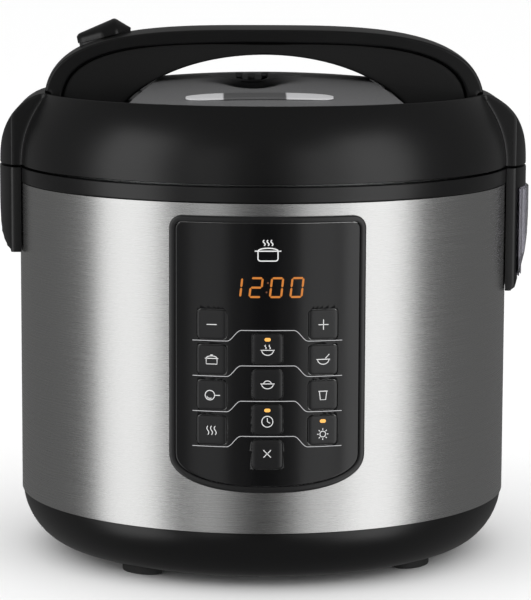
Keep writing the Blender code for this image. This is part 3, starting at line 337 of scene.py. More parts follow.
soft_rubber = plastic("soft rubber", (0.016, 0.016, 0.016), 0.72, grain=2200, depth=0.2)
foot_round = np.radians(np.arange(64) * 360 / 64)
foot_steps = np.array([(0.90, 0.0), (0.97, 0.03), (1.0, 0.14), (1.0, 0.85), (0.97, 1.0)])
for index in range(4):
    low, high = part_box(f"foot_{index + 1}")
    middle = (low + high) / 2
    out = math.atan2(middle.y, middle.x)
    across, along = 8 * MM * np.cos(foot_round), 13 * MM * np.sin(foot_round)
    x = across * math.cos(out) - along * math.sin(out)
    y = across * math.sin(out) + along * math.cos(out)
    ring = np.stack([x, y, 0 * x], -1)
    stack = ring[None] * foot_steps[:, :1, None] + np.array([middle.x, middle.y, 0])
    stack[:, :, 2] = low.z + (high.z - low.z) * foot_steps[:, 1:]
    loft(f"rubber_foot_{index + 1}", stack, "base", "rubber", soft_rubber, f"foot_{index + 1}")

cover_black = plastic("bottom cover black", (0.011, 0.011, 0.011), 0.5, depth=0.25)
dress(cover_black, "bottom_cover", "pressure_switch")


def worked_metal(name, colour, roughness, stretch, depth, mottle=0.1):
    """Metal whose marks are noise stretched by (x, y, z) scales per metre: brushing, turning or casting."""
    material, shader = paint(name, colour, roughness, 1.0)
    tree = material.node_tree
    where = wire(tree, "ShaderNodeTexCoord").outputs["Object"]
    drawn = wire(tree, "ShaderNodeMapping", Vector=where, Scale=stretch)
    marks = wire(tree, "ShaderNodeTexNoise", Vector=drawn.outputs["Vector"], Scale=1.0, Detail=4.0)
    shade = wire(tree, "ShaderNodeMix", {"data_type": "RGBA"}, Factor=marks.outputs["Fac"])
    shade.inputs[6].default_value = (*[channel * (1 - mottle) for channel in colour], 1)
    shade.inputs[7].default_value = (*[min(1, channel * (1 + mottle)) for channel in colour], 1)
    gloss = wire(tree, "ShaderNodeMapRange", Value=marks.outputs["Fac"], To_Min=roughness - 0.06,
                 To_Max=roughness + 0.06)
    bump = wire(tree, "ShaderNodeBump", Height=marks.outputs["Fac"], Strength=depth, Distance=0.0002)
    tree.links.new(shade.outputs[2], shader.inputs["Base Color"])
    tree.links.new(gloss.outputs["Result"], shader.inputs["Roughness"])
    tree.links.new(bump.outputs["Normal"], shader.inputs["Normal"])
    return material, shader


plated_steel = worked_metal("plated steel", (0.56, 0.56, 0.55), 0.32, (900, 900, 900), 0.1)[0]
dress(plated_steel, "bottom_screw_1", "bottom_screw_2", "bottom_screw_3", "sensor_spring", "sensor_bracket",
      "handle_screw_left", "handle_screw_right", "sealing_ring_rack")

# ---------------------------------------------------------------- brushed steel skin
# A sheet of 0.8 mm stainless steel rolled into a drum.  It is brushed round the body, so
# the fine lines run level and every reflection is drawn out into an upright band.


def cut(piece, *tools):
    """Cut closed tool shapes out of a piece with an exact boolean, and keep the result as its mesh."""
    for tool in tools:
        modifier = piece.modifiers.new("cut", "BOOLEAN")
        modifier.operation = "DIFFERENCE"
        modifier.solver = "EXACT"
        modifier.object = tool
    shape = piece.evaluated_get(bpy.context.evaluated_depsgraph_get())
    mesh = bpy.data.meshes.new_from_object(shape)
    piece.modifiers.clear()
    piece.data = mesh
    for tool in tools:
        bpy.data.objects.remove(tool, do_unlink=True)
    return piece


def brick(low, high):
    """A plain box between two corners, for use as a cutting tool."""
    corner = np.array([(x, y, z) for x in (low[0], high[0]) for y in (low[1], high[1]) for z in (low[2],
                                                                                                 high[2])])
    faces = [(0, 1, 3, 2), (4, 6, 7, 5), (0, 4, 5, 1), (2, 3, 7, 6), (0, 2, 6, 4), (1, 5, 7, 3)]
    return put("tool", corner, faces, None, None, satin_black)


brushed_steel, steel_shader = worked_metal("brushed stainless", (0.60, 0.60, 0.595), 0.27, (26, 26, 5200),
                                           0.16, 0.09)
steel_shader.inputs["Anisotropic"].default_value = 0.35
steel_tree = brushed_steel.node_tree
upright = wire(steel_tree, "ShaderNodeTangent", {"direction_type": "RADIAL", "axis": "Z"})
steel_tree.links.new(upright.outputs["Tangent"], steel_shader.inputs["Tangent"])

skin_wall = 0.8 * MM
socket_low, socket_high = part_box("power_socket")
skin_rise = np.append(np.linspace(steel_high.z, steel_low.z, 40),
                      [socket_low.z - 0.8 * MM, socket_high.z + 0.8 * MM])
skin_rise = np.sort(skin_rise)[::-1]
skin_outline = [(body_radius, z) for z in skin_rise] + [(body_radius - skin_wall, z) for z in skin_rise[::-1]]
skin = turned("steel_skin", skin_outline, "base", "brushed_steel", brushed_steel, "steel_housing",
              radius=0.2 * MM, segments=256)
cut(skin, brick(socket_low - Vector((0.3, 0, 0.3)) * MM, socket_high + Vector((0.3, 20, 0.3)) * MM))

# ---------------------------------------------------------------- mains inlet
# A moulded inlet at the back of the drum takes the plug of the mains lead: a deep black
# recess with three flat pins.

inlet_black = plastic("inlet black", (0.013, 0.013, 0.013), 0.45, depth=0.18)
dress(inlet_black, "power_socket")

# ---------------------------------------------------------------- top ring and lid slider
# A black ring caps the drum.  Its channel catches drips round the bayonet, and a white
# slider in it follows the lid's turn so that the cooker knows when the lid is locked.

ring_low, ring_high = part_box("top_ring")
ring_radius, ring_wall = ring_high.x, 6 * MM
step = steel_high.z + 0.3 * MM
channel = ring_high.z - 14.7 * MM
vessel_radius = body_radius - 22 * MM
ring_outline = [(ring_radius, ring_high.z), (ring_radius, step), (spigot, step), (spigot, ring_low.z),
                (spigot - 2.5 * MM, ring_low.z), (spigot - 2.5 * MM, channel - 2 * MM),
                (vessel_radius + 1 * MM, channel - 2 * MM), (vessel_radius + 1 * MM, channel),
                (ring_radius - ring_wall, channel), (ring_radius - ring_wall, ring_high.z)]
turned("drip_ring", ring_outline, "base", "black_plastic", satin_black, "top_ring", radius=0.9 * MM,
       segments=256)
slider_white = plastic("slider white", (0.68, 0.68, 0.66), 0.45)
dress(slider_white, "lid_position_slider")

# ---------------------------------------------------------------- outer pot
# The outer pot is pressed from aluminium sheet, with six teeth round its mouth that
# take the lid's lugs when the lid is turned.

bare_aluminium = worked_metal("bare aluminium", (0.60, 0.61, 0.61), 0.36, (300, 300, 900), 0.12)[0]


def toothed(profile, reach, first, tooth_angle=27.0, count=6, segments=720):
    """Turn (radius, height, tooth) rows; a row grows by reach times its tooth share at each tooth."""
    rows = np.asarray(profile, float)
    turn = np.arange(segments) / segments * 360
    off = (turn - first + 180 / count) % (360 / count) - 180 / count
    tooth = np.clip((tooth_angle / 2 - np.abs(off)) / 0.5 + 0.5, 0, 1)
    radius = rows[:, :1] + reach * rows[:, 2:] * tooth[None]
    turn = np.radians(turn)
    return np.stack([radius * np.cos(turn), radius * np.sin(turn), rows[:, 1:2] + 0 * radius], -1)


outer_low, outer_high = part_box("outer_pot")
sheet = 1.2 * MM
tooth_low = outer_high.z - 1.8 * MM
outer_rows = [(30 * MM, outer_low.z, 0), (vessel_radius - 8 * MM, outer_low.z, 0),
              (vessel_radius - 2.4 * MM, outer_low.z + 2.4 * MM, 0), (vessel_radius, outer_low.z + 8 * MM, 0),
              (vessel_radius, tooth_low, 0), (vessel_radius, tooth_low, 1), (vessel_radius, outer_high.z, 1),
              (vessel_radius - sheet, outer_high.z, 0), (vessel_radius - sheet, outer_low.z + 8.5 * MM, 0),
              (vessel_radius - sheet - 2.4 * MM, outer_low.z + 3.4 * MM, 0),
              (vessel_radius - sheet - 8 * MM, outer_low.z + sheet, 0), (30 * MM, outer_low.z + sheet, 0)]
loft("pressed_outer_pot", toothed(outer_rows, outer_high.x - vessel_radius, 0), "base", "pot_metal",
     bare_aluminium, "outer_pot", closed=True)

# ---------------------------------------------------------------- heater, sensor and electrics
# The cast heating plate stands on the outer pot's floor with the sprung sensor in its
# middle.  The circuit board, switch and control board sit below and behind the panel.

cast_aluminium = worked_metal("cast aluminium", (0.46, 0.46, 0.45), 0.55, (700, 700, 700), 0.4, 0.16)[0]
dress(cast_aluminium, "heating_plate", "thermal_sensor", "release_valve_tube", "float_valve_pin")
board_green = plastic("circuit board green", (0.012, 0.11, 0.035), 0.42, grain=500, depth=0.3)
dress(board_green, "power_board", "control_board")

# ---------------------------------------------------------------- inner pot
# The removable pot is drawn aluminium with a rolled rim.  It is satin outside, and inside
# it has a dark non-stick coat.

pot_low, pot_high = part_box("inner_pot")
pot_radius, pot_wall, pot_corner = body_radius - 27.5 * MM, 1.5 * MM, 14 * MM
corner_turn = np.linspace(0, math.pi / 2, 12)


def pot_side(radius, corner, floor):
    """The pot's corner, a quarter circle from its floor to its wall."""
    return np.stack([radius - corner + corner * np.sin(corner_turn),
                     floor + corner - corner * np.cos(corner_turn)], -1)


rim_low = pot_high.z - 1.8 * MM
pot_outline = np.concatenate([
    [(0, pot_low.z)], pot_side(pot_radius, pot_corner, pot_low.z),
    [(pot_radius, rim_low), (pot_high.x, rim_low), (pot_high.x, pot_high.z),
     (pot_radius - pot_wall, pot_high.z)],
    pot_side(pot_radius - pot_wall, pot_corner - pot_wall, pot_low.z + pot_wall)[::-1],
    [(0, pot_low.z + pot_wall)]])
pot_metal = worked_metal("drawn pot metal", (0.58, 0.58, 0.57), 0.3, (60, 60, 2600), 0.14)[0]
pot = turned("cooking_pot", pot_outline, "inner_pot", "pot_metal", pot_metal, "inner_pot", radius=0.8 * MM)
non_stick = plastic("non-stick coat", (0.028, 0.028, 0.030), 0.34, grain=3000, depth=0.16)
pot.data.materials.append(non_stick)
face_middle = np.array([face.center for face in pot.data.polygons])
face_normal = np.array([face.normal for face in pot.data.polygons])
off_axis = np.hypot(face_middle[:, 0], face_middle[:, 1])
facing_in = (face_normal[:, :2] * face_middle[:, :2]).sum(1) < -0.2 * off_axis
on_floor = (face_normal[:, 2] > 0.2) & (face_middle[:, 2] < pot_low.z + 20 * MM)
coated = (facing_in | on_floor) & (off_axis < pot_radius - 0.5 * MM) & (face_middle[:, 2] < rim_low + 1 * MM)
pot.data.polygons.foreach_set("material_index", coated.astype(np.int32))

# ---------------------------------------------------------------- side brackets
# Two black lugs stand on the drum under the lid's ears.  The left one ends in a sloping
# chin; the right one has a short cap and a long thin spine that the cup hangs on.


def bracket_sections(heights, limits, half_width, bend, reach, inside, side=1, arc_steps=20, corner=1.6 * MM):
    """Closed level sections of a bracket, (n, m, 3).

    Across the width the outer face follows a circle of radius `bend`, cut off at x = limit; its two corners
    are rounded by pulling the last stretch in.  The inner face follows the drum's circle.
    """
    heights, limits = np.asarray(heights, float), np.asarray(limits, float)
    middle = np.linspace(-1, 1, arc_steps + 1)
    edge = np.sin(np.linspace(0, math.pi / 2, 6))
    share = np.concatenate([-1 + 0 * edge[:-1], middle, 1 + 0 * edge[:-1]])
    drop = np.concatenate([(1 - edge[:-1]), 0 * middle, (1 - edge[:-1])[::-1]])
    pull = np.concatenate([np.cos(np.linspace(0, math.pi / 2, 6))[:-1], 0 * middle,
                           np.cos(np.linspace(0, math.pi / 2, 6))[:-1][::-1]])
    y = share * (half_width - corner) + np.sign(share) * corner * np.where(pull > 0, pull, 0)
    outer = (body_radius + reach - bend) + np.sqrt(bend ** 2 - y ** 2)
    outer = np.minimum(outer[None], limits[:, None]) - corner * drop[None]
    inner_y = np.linspace(half_width, -half_width, arc_steps + 1)
    inner = np.sqrt(inside ** 2 - inner_y ** 2) if inside < 0.2 else 0 * inner_y
    outer = np.maximum(outer, inside * np.cos(y / inside)[None] + 0.4 * MM)
    x = np.concatenate([outer, np.repeat(inner[None], len(heights), 0)], 1)
    y = np.repeat(np.concatenate([y, inner_y])[None], len(heights), 0)
    z = np.repeat(heights[:, None], x.shape[1], 1)
    return np.stack([side * x, y, z], -1)


def soft_ends(sections, drawn=0.7 * MM):
    """Round the top and bottom edges: two more sections at each end, drawn in towards their middles."""
    def draw(section, by):
        middle = section.mean(0)
        off = section - middle
        size = np.abs(off[:, :2]).max(0)
        off[:, :2] *= 1 - by / size
        return middle + off

    first, last = sections[0], sections[-1]
    lift = np.array([0, 0, drawn]) * np.sign(last[0, 2] - first[0, 2])
    start = [draw(first, drawn), draw(first, 0.3 * drawn) + 0.3 * lift, first + lift]
    end = [last - lift, draw(last, 0.3 * drawn) - 0.3 * lift, draw(last, drawn)]
    return np.concatenate([np.stack(start), sections[1:-1], np.stack(end)])


ear_reach, ear_half, ear_bend = 11.8 * MM, 28.5 * MM, 52 * MM
ear_tip = body_radius + ear_reach
ring_top = ring_high.z
bracket_inside = ring_radius + 0.3 * MM
chin_z = ring_top - np.array([0, 10, 20, 26, 33, 38, 42, 45.5, 48.6]) * MM
chin_x = ear_tip + np.array([0, 0, -0.2, -0.4, -0.9, -1.8, -3.2, -5.2, -7.7]) * MM
left_bracket = bracket_sections(chin_z, chin_x, ear_half, ear_bend, ear_reach, bracket_inside, side=-1)
loft("left_lug", soft_ends(left_bracket), "base", "black_plastic", satin_black, "left_bracket")

right_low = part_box("right_bracket")[0]
cap_low = ring_top - 11.5 * MM
spine_x = body_radius + 5.4 * MM
spine_z = [ring_top, cap_low + 0.6 * MM, cap_low, cap_low, right_low.z + 7 * MM, right_low.z + 4 * MM,
           right_low.z + 2 * MM, right_low.z]
spine_limit = [ear_tip, ear_tip, ear_tip - 0.6 * MM, spine_x, spine_x, spine_x - 0.7 * MM, spine_x - 1.7 * MM,
               spine_x - 3.6 * MM]
right_bracket = bracket_sections(spine_z, spine_limit, ear_half, ear_bend, ear_reach, bracket_inside)
loft("right_lug", soft_ends(right_bracket), "base", "black_plastic", satin_black, "right_bracket")

# ---------------------------------------------------------------- condensation cup
# A thin cup of smoky clear plastic hangs on the spine under the right lug and catches the
# water that runs out of the ring's channel.  It is pulled straight down to empty it.

cup_low, cup_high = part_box("condensation_cup")
smoke, smoke_shader = paint("smoky clear plastic", (0.30, 0.29, 0.33), 0.12)
smoke_shader.inputs["Transmission Weight"].default_value = 0.85
smoke_shader.inputs["IOR"].default_value = 1.46
smoke_tree = smoke.node_tree
ripple = wire(smoke_tree, "ShaderNodeGroup", {"node_tree": grain_group}, Grain_per_metre=90.0, Depth=0.05,
              Roughness=0.14, Patches=0.06)
smoke_tree.links.new(ripple.outputs["Normal"], smoke_shader.inputs["Normal"])
smoke_tree.links.new(ripple.outputs["Roughness"], smoke_shader.inputs["Roughness"])


def cup_sections(inset, heights):
    """Level sections of the cup's outside, or with an inset of its inside; the outer face tapers in."""
    tip = cup_high.x
    fall = (cup_high.z - heights) / MM
    limit = tip - np.interp(fall, [8, 28, 43, 55], [0, 2, 5.5, 9]) * MM - inset
    back = cup_low.x + inset
    limit = np.maximum(limit, back + 0.8 * MM)
    half = ear_half - 1.5 * MM - inset
    bend = 80 * MM - inset
    wide = np.sin(np.linspace(-math.pi / 2, math.pi / 2, 33))
    y = half * wide
    outer = np.minimum((tip - 80 * MM) + np.sqrt(bend ** 2 - y ** 2)[None], limit[:, None])
    soft = 1.5 * MM * (1 - np.sqrt(np.clip(1 - np.abs(wide) ** 30, 0, 1)))
    x = np.concatenate([np.maximum(outer - soft[None], back + 0.3 * MM), np.full((len(heights), 33), back)],
                       1)
    y = np.repeat(np.concatenate([y, y[::-1]])[None], len(heights), 0)
    return np.stack([x, y, np.repeat(heights[:, None], x.shape[1], 1)], -1)


cup_wall = 1.2 * MM
outside = cup_sections(0, np.linspace(cup_low.z, cup_high.z, 24))
inside = cup_sections(cup_wall, np.linspace(cup_high.z, cup_low.z + cup_wall, 24))
loft("drip_cup", np.concatenate([outside, inside]), "condensation_cup", "smoky_plastic", smoke,
     "condensation_cup")

# ---------------------------------------------------------------- control panel
# A gloss black panel is bent round the front of the drum inside a raised black bezel,
# with a full, rounded lower edge.  Both are mouldings that clip through the steel.

panel_low, panel_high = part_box("panel_bezel")
panel_half, panel_corner, panel_skirt, bezel_width = 53.5 * MM, 7 * MM, 21 * MM, 3.8 * MM


def panel_loop(inset):
    """The panel's outline (across, height), anticlockwise: superellipse skirt, straight sides, round corners.

    The skirt is |x|^2.4 + |z|^2.4 = 1.  The inset moves every point along the inward normal.
    """
    turn = np.linspace(0, math.pi, 81)
    skirt = np.stack([-panel_half * np.sign(np.cos(turn)) * np.abs(np.cos(turn)) ** (2 / 2.4),
                      panel_low.z + panel_skirt - panel_skirt * np.sin(turn) ** (2 / 2.4)], -1)
    rise = np.linspace(panel_low.z + panel_skirt, panel_high.z - panel_corner, 30)[1:-1]
    right = np.stack([panel_half + 0 * rise, rise], -1)
    quarter = np.linspace(0, math.pi / 2, 14)
    corner = np.stack([panel_half - panel_corner + panel_corner * np.cos(quarter),
                       panel_high.z - panel_corner + panel_corner * np.sin(quarter)], -1)
    top = np.linspace(panel_half - panel_corner, panel_corner - panel_half, 30)[1:-1]
    top = np.stack([top, panel_high.z + 0 * top], -1)
    loop = np.concatenate([skirt, right, corner, top, (corner * [-1, 1])[::-1], (right * [-1, 1])[::-1]])
    along = np.roll(loop, -1, 0) - np.roll(loop, 1, 0)
    along /= np.linalg.norm(along, axis=1)[:, None]
    return loop + inset * np.stack([-along[:, 1], along[:, 0]], -1)


def wrap(across, height, proud):
    """Bend (across, height, proud) points round the front of the drum."""
    turn = across / body_radius
    radius = body_radius + proud
    return np.stack([radius * np.sin(turn), -radius * np.cos(turn), height + 0 * turn], -1)


gloss_black = plastic("gloss black acrylic", (0.0030, 0.0030, 0.0033), 0.18, grain=500, depth=0.02,
                      patches=0.05)
bezel_black = plastic("bezel black", (0.0070, 0.0070, 0.0074), 0.30, depth=0.06)
bezel_turn = np.array([(0, 0.25), (0, 1.0), (0.25, 1.45), (0.8, 1.78), (2.7, 1.78), (3.25, 1.5), (3.45, 1.1),
                       (3.5, 0.25)]) * MM
rims = np.stack([panel_loop(inset) for inset in bezel_turn[:, 0]], 1)
loft("panel_frame", wrap(rims[..., 0], rims[..., 1], bezel_turn[None, :, 1]), "base", "gloss_black",
     bezel_black,
     "panel_bezel", closed=True)

edge_loop = panel_loop(bezel_width)
panel_middle = np.array([0, (panel_low.z + panel_high.z) / 2])
face_rows = np.concatenate([np.linspace(0, 0.985, 64), [0.993, 0.998, 1, 1, 0]])
face_proud = np.concatenate([np.full(64, 1.2), [1.2, 1.12, 0.95, 0.3, 0.3]]) * MM
spread = panel_middle + (edge_loop - panel_middle) * face_rows[:, None, None]
face = put("panel_face_plate", wrap(spread[..., 0], spread[..., 1], face_proud[:, None]),
           quads(len(face_rows), len(edge_loop)), "base", "gloss_black", gloss_black, "panel_face")

# ---------------------------------------------------------------- keys
# Twelve soft square pads stand through the panel, each with a rounded edge and a slightly
# hollow top.  Each one moves by itself.

key_names = [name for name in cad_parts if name.startswith("key_")]
key_half, key_gap = 8 * MM, 0.3 * MM
key_black = plastic("key black", (0.0085, 0.0085, 0.009), 0.30, grain=900, depth=0.08)


def rounded_box(half_wide, half_high, radius, steps=6, between=0):
    """Closed outlines (n, m, 2), one for each pair of half sizes: quarter circles and straight sides."""
    wide, high = np.broadcast_arrays(np.atleast_1d(half_wide).astype(float),
                                     np.atleast_1d(half_high).astype(float))
    radius = np.minimum(radius, 0.96 * np.minimum(wide, high))[:, None, None]
    turn = np.radians(np.arange(4)[:, None] * 90 + np.linspace(0, 90, steps + 1)[None])
    sign_x, sign_y = np.array([1, -1, -1, 1])[None, :, None], np.array([1, 1, -1, -1])[None, :, None]
    x = sign_x * (wide[:, None, None] - radius) + radius * np.cos(turn)
    y = sign_y * (high[:, None, None] - radius) + radius * np.sin(turn)
    arcs = np.stack([x, y], -1)
    share = (np.arange(between) + 1)[:, None] / (between + 1)
    straight = arcs[:, :, -1:] * (1 - share) + np.roll(arcs, -1, 1)[:, :, :1] * share
    return np.concatenate([arcs, straight], 2).reshape(len(wide), -1, 2)


def key_frame(name):
    """Middle across, height, and a function from (across, up, out) on the key's top to the object's."""
    low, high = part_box(name)
    height = (low.z + high.z) / 2
    column = round(((low.x + high.x) / 2) / (20 * MM))
    across = column * 29.7 * MM
    turn = across / body_radius
    side = np.array([math.cos(turn), math.sin(turn), 0])
    out = np.array([math.sin(turn), -math.cos(turn), 0])
    top = out * (body_radius + 1.5 * MM) + np.array([0, 0, height])

    def place(points):
        return top + points[..., :1] * side + points[..., 1:2] * np.array([0, 0, 1]) + points[..., 2:] * out

    return across, height, place


key_rows = np.array([(1.0, -3.2), (1.0, -0.6), (0.99, -0.45), (0.965, -0.33), (0.92, -0.2), (0.85, -0.09),
                     (0.75, -0.02), (0.6, 0.0), (0.3, -0.02), (0.02, -0.02)])
hole_tools = []
key_places = {}
for name in key_names:
    across, height, place = key_frame(name)
    key_places[name] = (across, height, place)
    outline = rounded_box(key_half * key_rows[:, 0], key_half * key_rows[:, 0], 2.4 * MM * key_rows[:, 0])
    depth = np.broadcast_to(key_rows[:, 1:, None] * MM, (*outline.shape[:2], 1))
    loft(f"pad_{name[4:]}", place(np.concatenate([outline, depth], 2)), name, "key_black", key_black, name)
    outline = rounded_box(np.full(2, key_half + key_gap), np.full(2, key_half + key_gap), 2.6 * MM)
    depth = np.broadcast_to(np.array([-8 * MM, 8 * MM])[:, None, None], (*outline.shape[:2], 1))
    hole_tools.append(loft("tool", place(np.concatenate([outline, depth], 2)), None, None, key_black))
cut(face, *hole_tools)

# ---------------------------------------------------------------- printing on the panel
# Pale ink is screen printed on the pads and the panel: a plain picture for each programme,
# a steaming pot above the clock, and four thin silver rules that step up over the middle.


def line(*points):
    return np.array(points, float)


def arc(x, y, radius, first, last, flat=1.0, count=24):
    """Part of a circle, or of an ellipse with flat for its height over its width; angles in degrees."""
    turn = np.radians(np.linspace(first, last, count))
    return np.stack([x + radius * np.cos(turn), y + flat * radius * np.sin(turn)], -1)


def wave(x, y, height, sway=0.35, count=20):
    """An upright wisp of steam: one turn of a sine."""
    share = np.linspace(0, 1, count)
    return np.stack([x + sway * np.sin(share * math.tau), y + height * share], -1)


def ribbon(points, width, low, high):
    """Closed flat bar along a line of (across, up) points: (verts, faces) with out from low to high."""
    along = np.gradient(points, axis=0)
    along /= np.maximum(np.linalg.norm(along, axis=1), 1e-9)[:, None]
    beside = np.stack([-along[:, 1], along[:, 0]], -1) * width / 2
    left, right = points + beside, points - beside
    level = np.zeros((len(points), 1))
    section = np.stack([np.concatenate([left, level + low], 1), np.concatenate([right, level + low], 1),
                        np.concatenate([right, level + high], 1), np.concatenate([left, level + high], 1)], 1)
    count = len(points)
    faces = quads(count, 4).tolist() + [[0, 1, 2, 3], [4 * count - 4, 4 * count - 3, 4 * count - 2,
                                                       4 * count - 1]]
    return section.reshape(-1, 3), faces


def print_lines(name, strokes, width, place, body, slot, material, low=0.0, high=0.05 * MM):
    """One piece made of several ribbons, each placed by the same function."""
    verts, faces = [], []
    for stroke in strokes:
        points, sides = ribbon(stroke, width, low, high)
        start = sum(len(group) for group in verts)
        verts.append(points)
        faces += [[corner + start for corner in side] for side in sides]
    return put(name, place(np.concatenate(verts)), faces, body, slot, material)


ink = plastic("pale ink", (0.62, 0.62, 0.62), 0.5, grain=6000, depth=0.05)
bowl = [arc(0, 0.4, 3.4, 180, 360, 0.85), line((-4.1, 0.4), (4.1, 0.4))]
pictures = {
    "centre_1": bowl + [wave(-1.2, 1.2, 2.4), wave(1.2, 1.2, 2.4)],
    "centre_2": bowl + [arc(0, 0.4, 2.2, 10, 170, 0.8)],
    "centre_3": [arc(0, 0, 3.2, 0, 360, count=48), line((0, 2.1), (0, 0), (1.6, -0.9))],
    "centre_4": [line((-2.2, -2.2), (2.2, 2.2)), line((-2.2, 2.2), (2.2, -2.2))],
    "left_1": [line((-4.0, 0.9), (4.0, 0.9)), line((-3.2, 0.9), (-3.2, -2.4), (3.2, -2.4), (3.2, 0.9)),
               arc(0, 0.9, 3.2, 0, 180, 0.45), line((-0.8, 2.9), (0.8, 2.9))],
    "left_2": [arc(-1.0, 0, 2.8, 0, 360, count=48), line((1.8, 0), (5.0, 0)), arc(-1.0, 0, 1.9, 200, 300)],
    "left_3": [wave(-2.2, -2.6, 5.2, 0.6), wave(0, -2.6, 5.2, 0.6), wave(2.2, -2.6, 5.2, 0.6)],
    "right_1": bowl + [line((1.2, 0.9), (3.6, 3.4))],
    "right_2": [line((-2.2, 2.4), (-1.6, -2.6), (1.6, -2.6), (2.2, 2.4)), line((-2.8, 2.4), (2.8, 2.4))],
    "right_3": [arc(0, 0, 1.7, 0, 360, count=40)] + [
        line((2.4 * math.cos(turn), 2.4 * math.sin(turn)), (3.4 * math.cos(turn), 3.4 * math.sin(turn)))
        for turn in np.arange(8) * math.pi / 4],
    "minus": [line((-3.0, 0), (3.0, 0))],
    "plus": [line((-3.0, 0), (3.0, 0)), line((0, -3.0), (0, 3.0))]}
picture_drop = {"centre_1": -1.0, "centre_3": -1.0, "right_3": -2.0, "centre_4": 0.6}
for name in key_names:
    short = name[4:]
    shift = np.array([0, picture_drop.get(short, 0.0)])
    strokes = [(stroke * 0.92 + shift) * MM for stroke in pictures[short]]
    print_lines(f"print_{short}", strokes, 0.42 * MM, key_places[name][2], name, "silver_film", ink,
                low=-0.08 * MM, high=0.02 * MM)


def on_panel(points):
    return wrap(points[..., 0], points[..., 1], face_top + points[..., 2])


face_top = 1.2 * MM
step_turn = np.linspace(-math.pi / 2, math.pi / 2, 16)
step_up = np.stack([-17.8 + 3.9 * step_turn / (math.pi / 2), 2.95 * np.sin(step_turn) - 2.95], -1)
level_side = np.stack([np.linspace(-40.2, -22.5, 30), np.full(30, -5.9)], -1)
level_middle = np.stack([np.linspace(-13.0, 13.0, 40), np.zeros(40)], -1)
rule = np.concatenate([level_side, step_up, level_middle, (step_up * [-1, 1])[::-1],
                       (level_side * [-1, 1])[::-1]])
key_row = key_places["key_centre_3"][1] - key_places["key_centre_4"][1]
first_rule = key_places["key_centre_4"][1] + key_row / 2 + 0.4 * MM
rules = [rule * MM + np.array([0, first_rule + key_row * row]) for row in range(4)]
silver_ink = plastic("silver ink", (0.42, 0.42, 0.43), 0.4, grain=6000, depth=0.05)
print_lines("panel_rules", rules, 0.34 * MM, on_panel, "base", "silver_film", silver_ink, low=-0.02 * MM)

mark_height = key_places["key_centre_1"][1] + 52.5 * MM
pot_mark = [line((-6.2, 0), (-6.2, -4.6)), arc(-4.6, -4.6, 1.6, 180, 270),
            line(*((x, -6.2) for x in np.linspace(-4.6, 4.6, 13))),
            arc(4.6, -4.6, 1.6, 270, 360), line((6.2, -4.6), (6.2, 0)),
            line(*((x, 0) for x in np.linspace(-8.2, 8.2, 21))),
            arc(0, 0, 6.2, 0, 180, 0.3), wave(-2.4, 3.4, 3.6, 0.6), wave(0, 3.4, 3.6, 0.6), wave(2.4, 3.4,
                                                                                                 3.6, 0.6)]
pot_mark = [stroke * 0.85 * MM + np.array([0, mark_height]) for stroke in pot_mark]
print_lines("pot_mark", pot_mark, 0.6 * MM, on_panel, "base", "silver_film", ink, low=-0.02 * MM)

# ---------------------------------------------------------------- clock display and lamps
# Amber seven-segment digits shine through the panel, leaning six degrees to the right,
# with three small amber lamps above the keys whose programmes are on.


def glowing(name, colour, strength):
    """A plastic window that glows, a little brighter in some places than others: lit from behind, or a faint
    painted glow where the window is unlit.
    """
    material, shader = paint(name, (0.02, 0.01, 0.004), 0.35)
    tree = material.node_tree
    where = wire(tree, "ShaderNodeTexCoord").outputs["Object"]
    uneven = wire(tree, "ShaderNodeTexNoise", Vector=where, Scale=420.0, Detail=2.0)
    shade = wire(tree, "ShaderNodeMix", {"data_type": "RGBA"}, Factor=uneven.outputs["Fac"])
    shade.inputs[6].default_value = (*[channel * 0.75 for channel in colour], 1)
    shade.inputs[7].default_value = (*colour, 1)
    tree.links.new(shade.outputs[2], shader.inputs["Emission Color"])
    shader.inputs["Emission Strength"].default_value = strength
    return material


def hexagon(first, last, width):
    """One segment: a bar from first to last with 45 degree points."""
    first, last = np.array(first, float), np.array(last, float)
    along = (last - first) / np.linalg.norm(last - first)
    beside = np.array([-along[1], along[0]]) * width / 2
    inset = along * width / 2
    return np.stack([first, first + inset - beside, last - inset - beside, last, last - inset + beside,
                     first + inset + beside])


digit_wide, digit_tall, digit_stroke, digit_pitch, gap = 5.9, 10.1, 1.08, 10.8, 0.12
low_left, low_right, high_left, high_right = (0, 0), (digit_wide, 0), (0, digit_tall), (digit_wide,
                                                                                        digit_tall)
middle_left, middle_right = (0, digit_tall / 2), (digit_wide, digit_tall / 2)
segment_ends = {"a": (high_left, high_right), "b": (middle_right, high_right), "c": (low_right, middle_right),
                "d": (low_left, low_right), "e": (low_left, middle_left), "f": (middle_left, high_left),
                "g": (middle_left, middle_right)}
digit_segments = {"1": "bc", "2": "abged", "0": "abcdef"}
display_low, display_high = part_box("display_module")
display_middle = (display_low.z + display_high.z) / 2
digit_start = -20.5


def prisms(name, outlines, low, high, place, body, slot, material):
    """Thin plates with the same number of corners, from low to high above the surface."""
    flat = np.stack(outlines)
    count, corners = flat.shape[:2]
    level = np.zeros((count, corners, 1))
    verts = np.stack([np.concatenate([flat, level + low], 2), np.concatenate([flat, level + high], 2)], 1)
    faces = []
    for index in range(count):
        start = index * 2 * corners
        faces += quads(2, corners, start=start).tolist()
        faces += [list(range(start, start + corners)), list(range(start + corners, start + 2 * corners))]
    return put(name, place(verts), faces, body, slot, material)


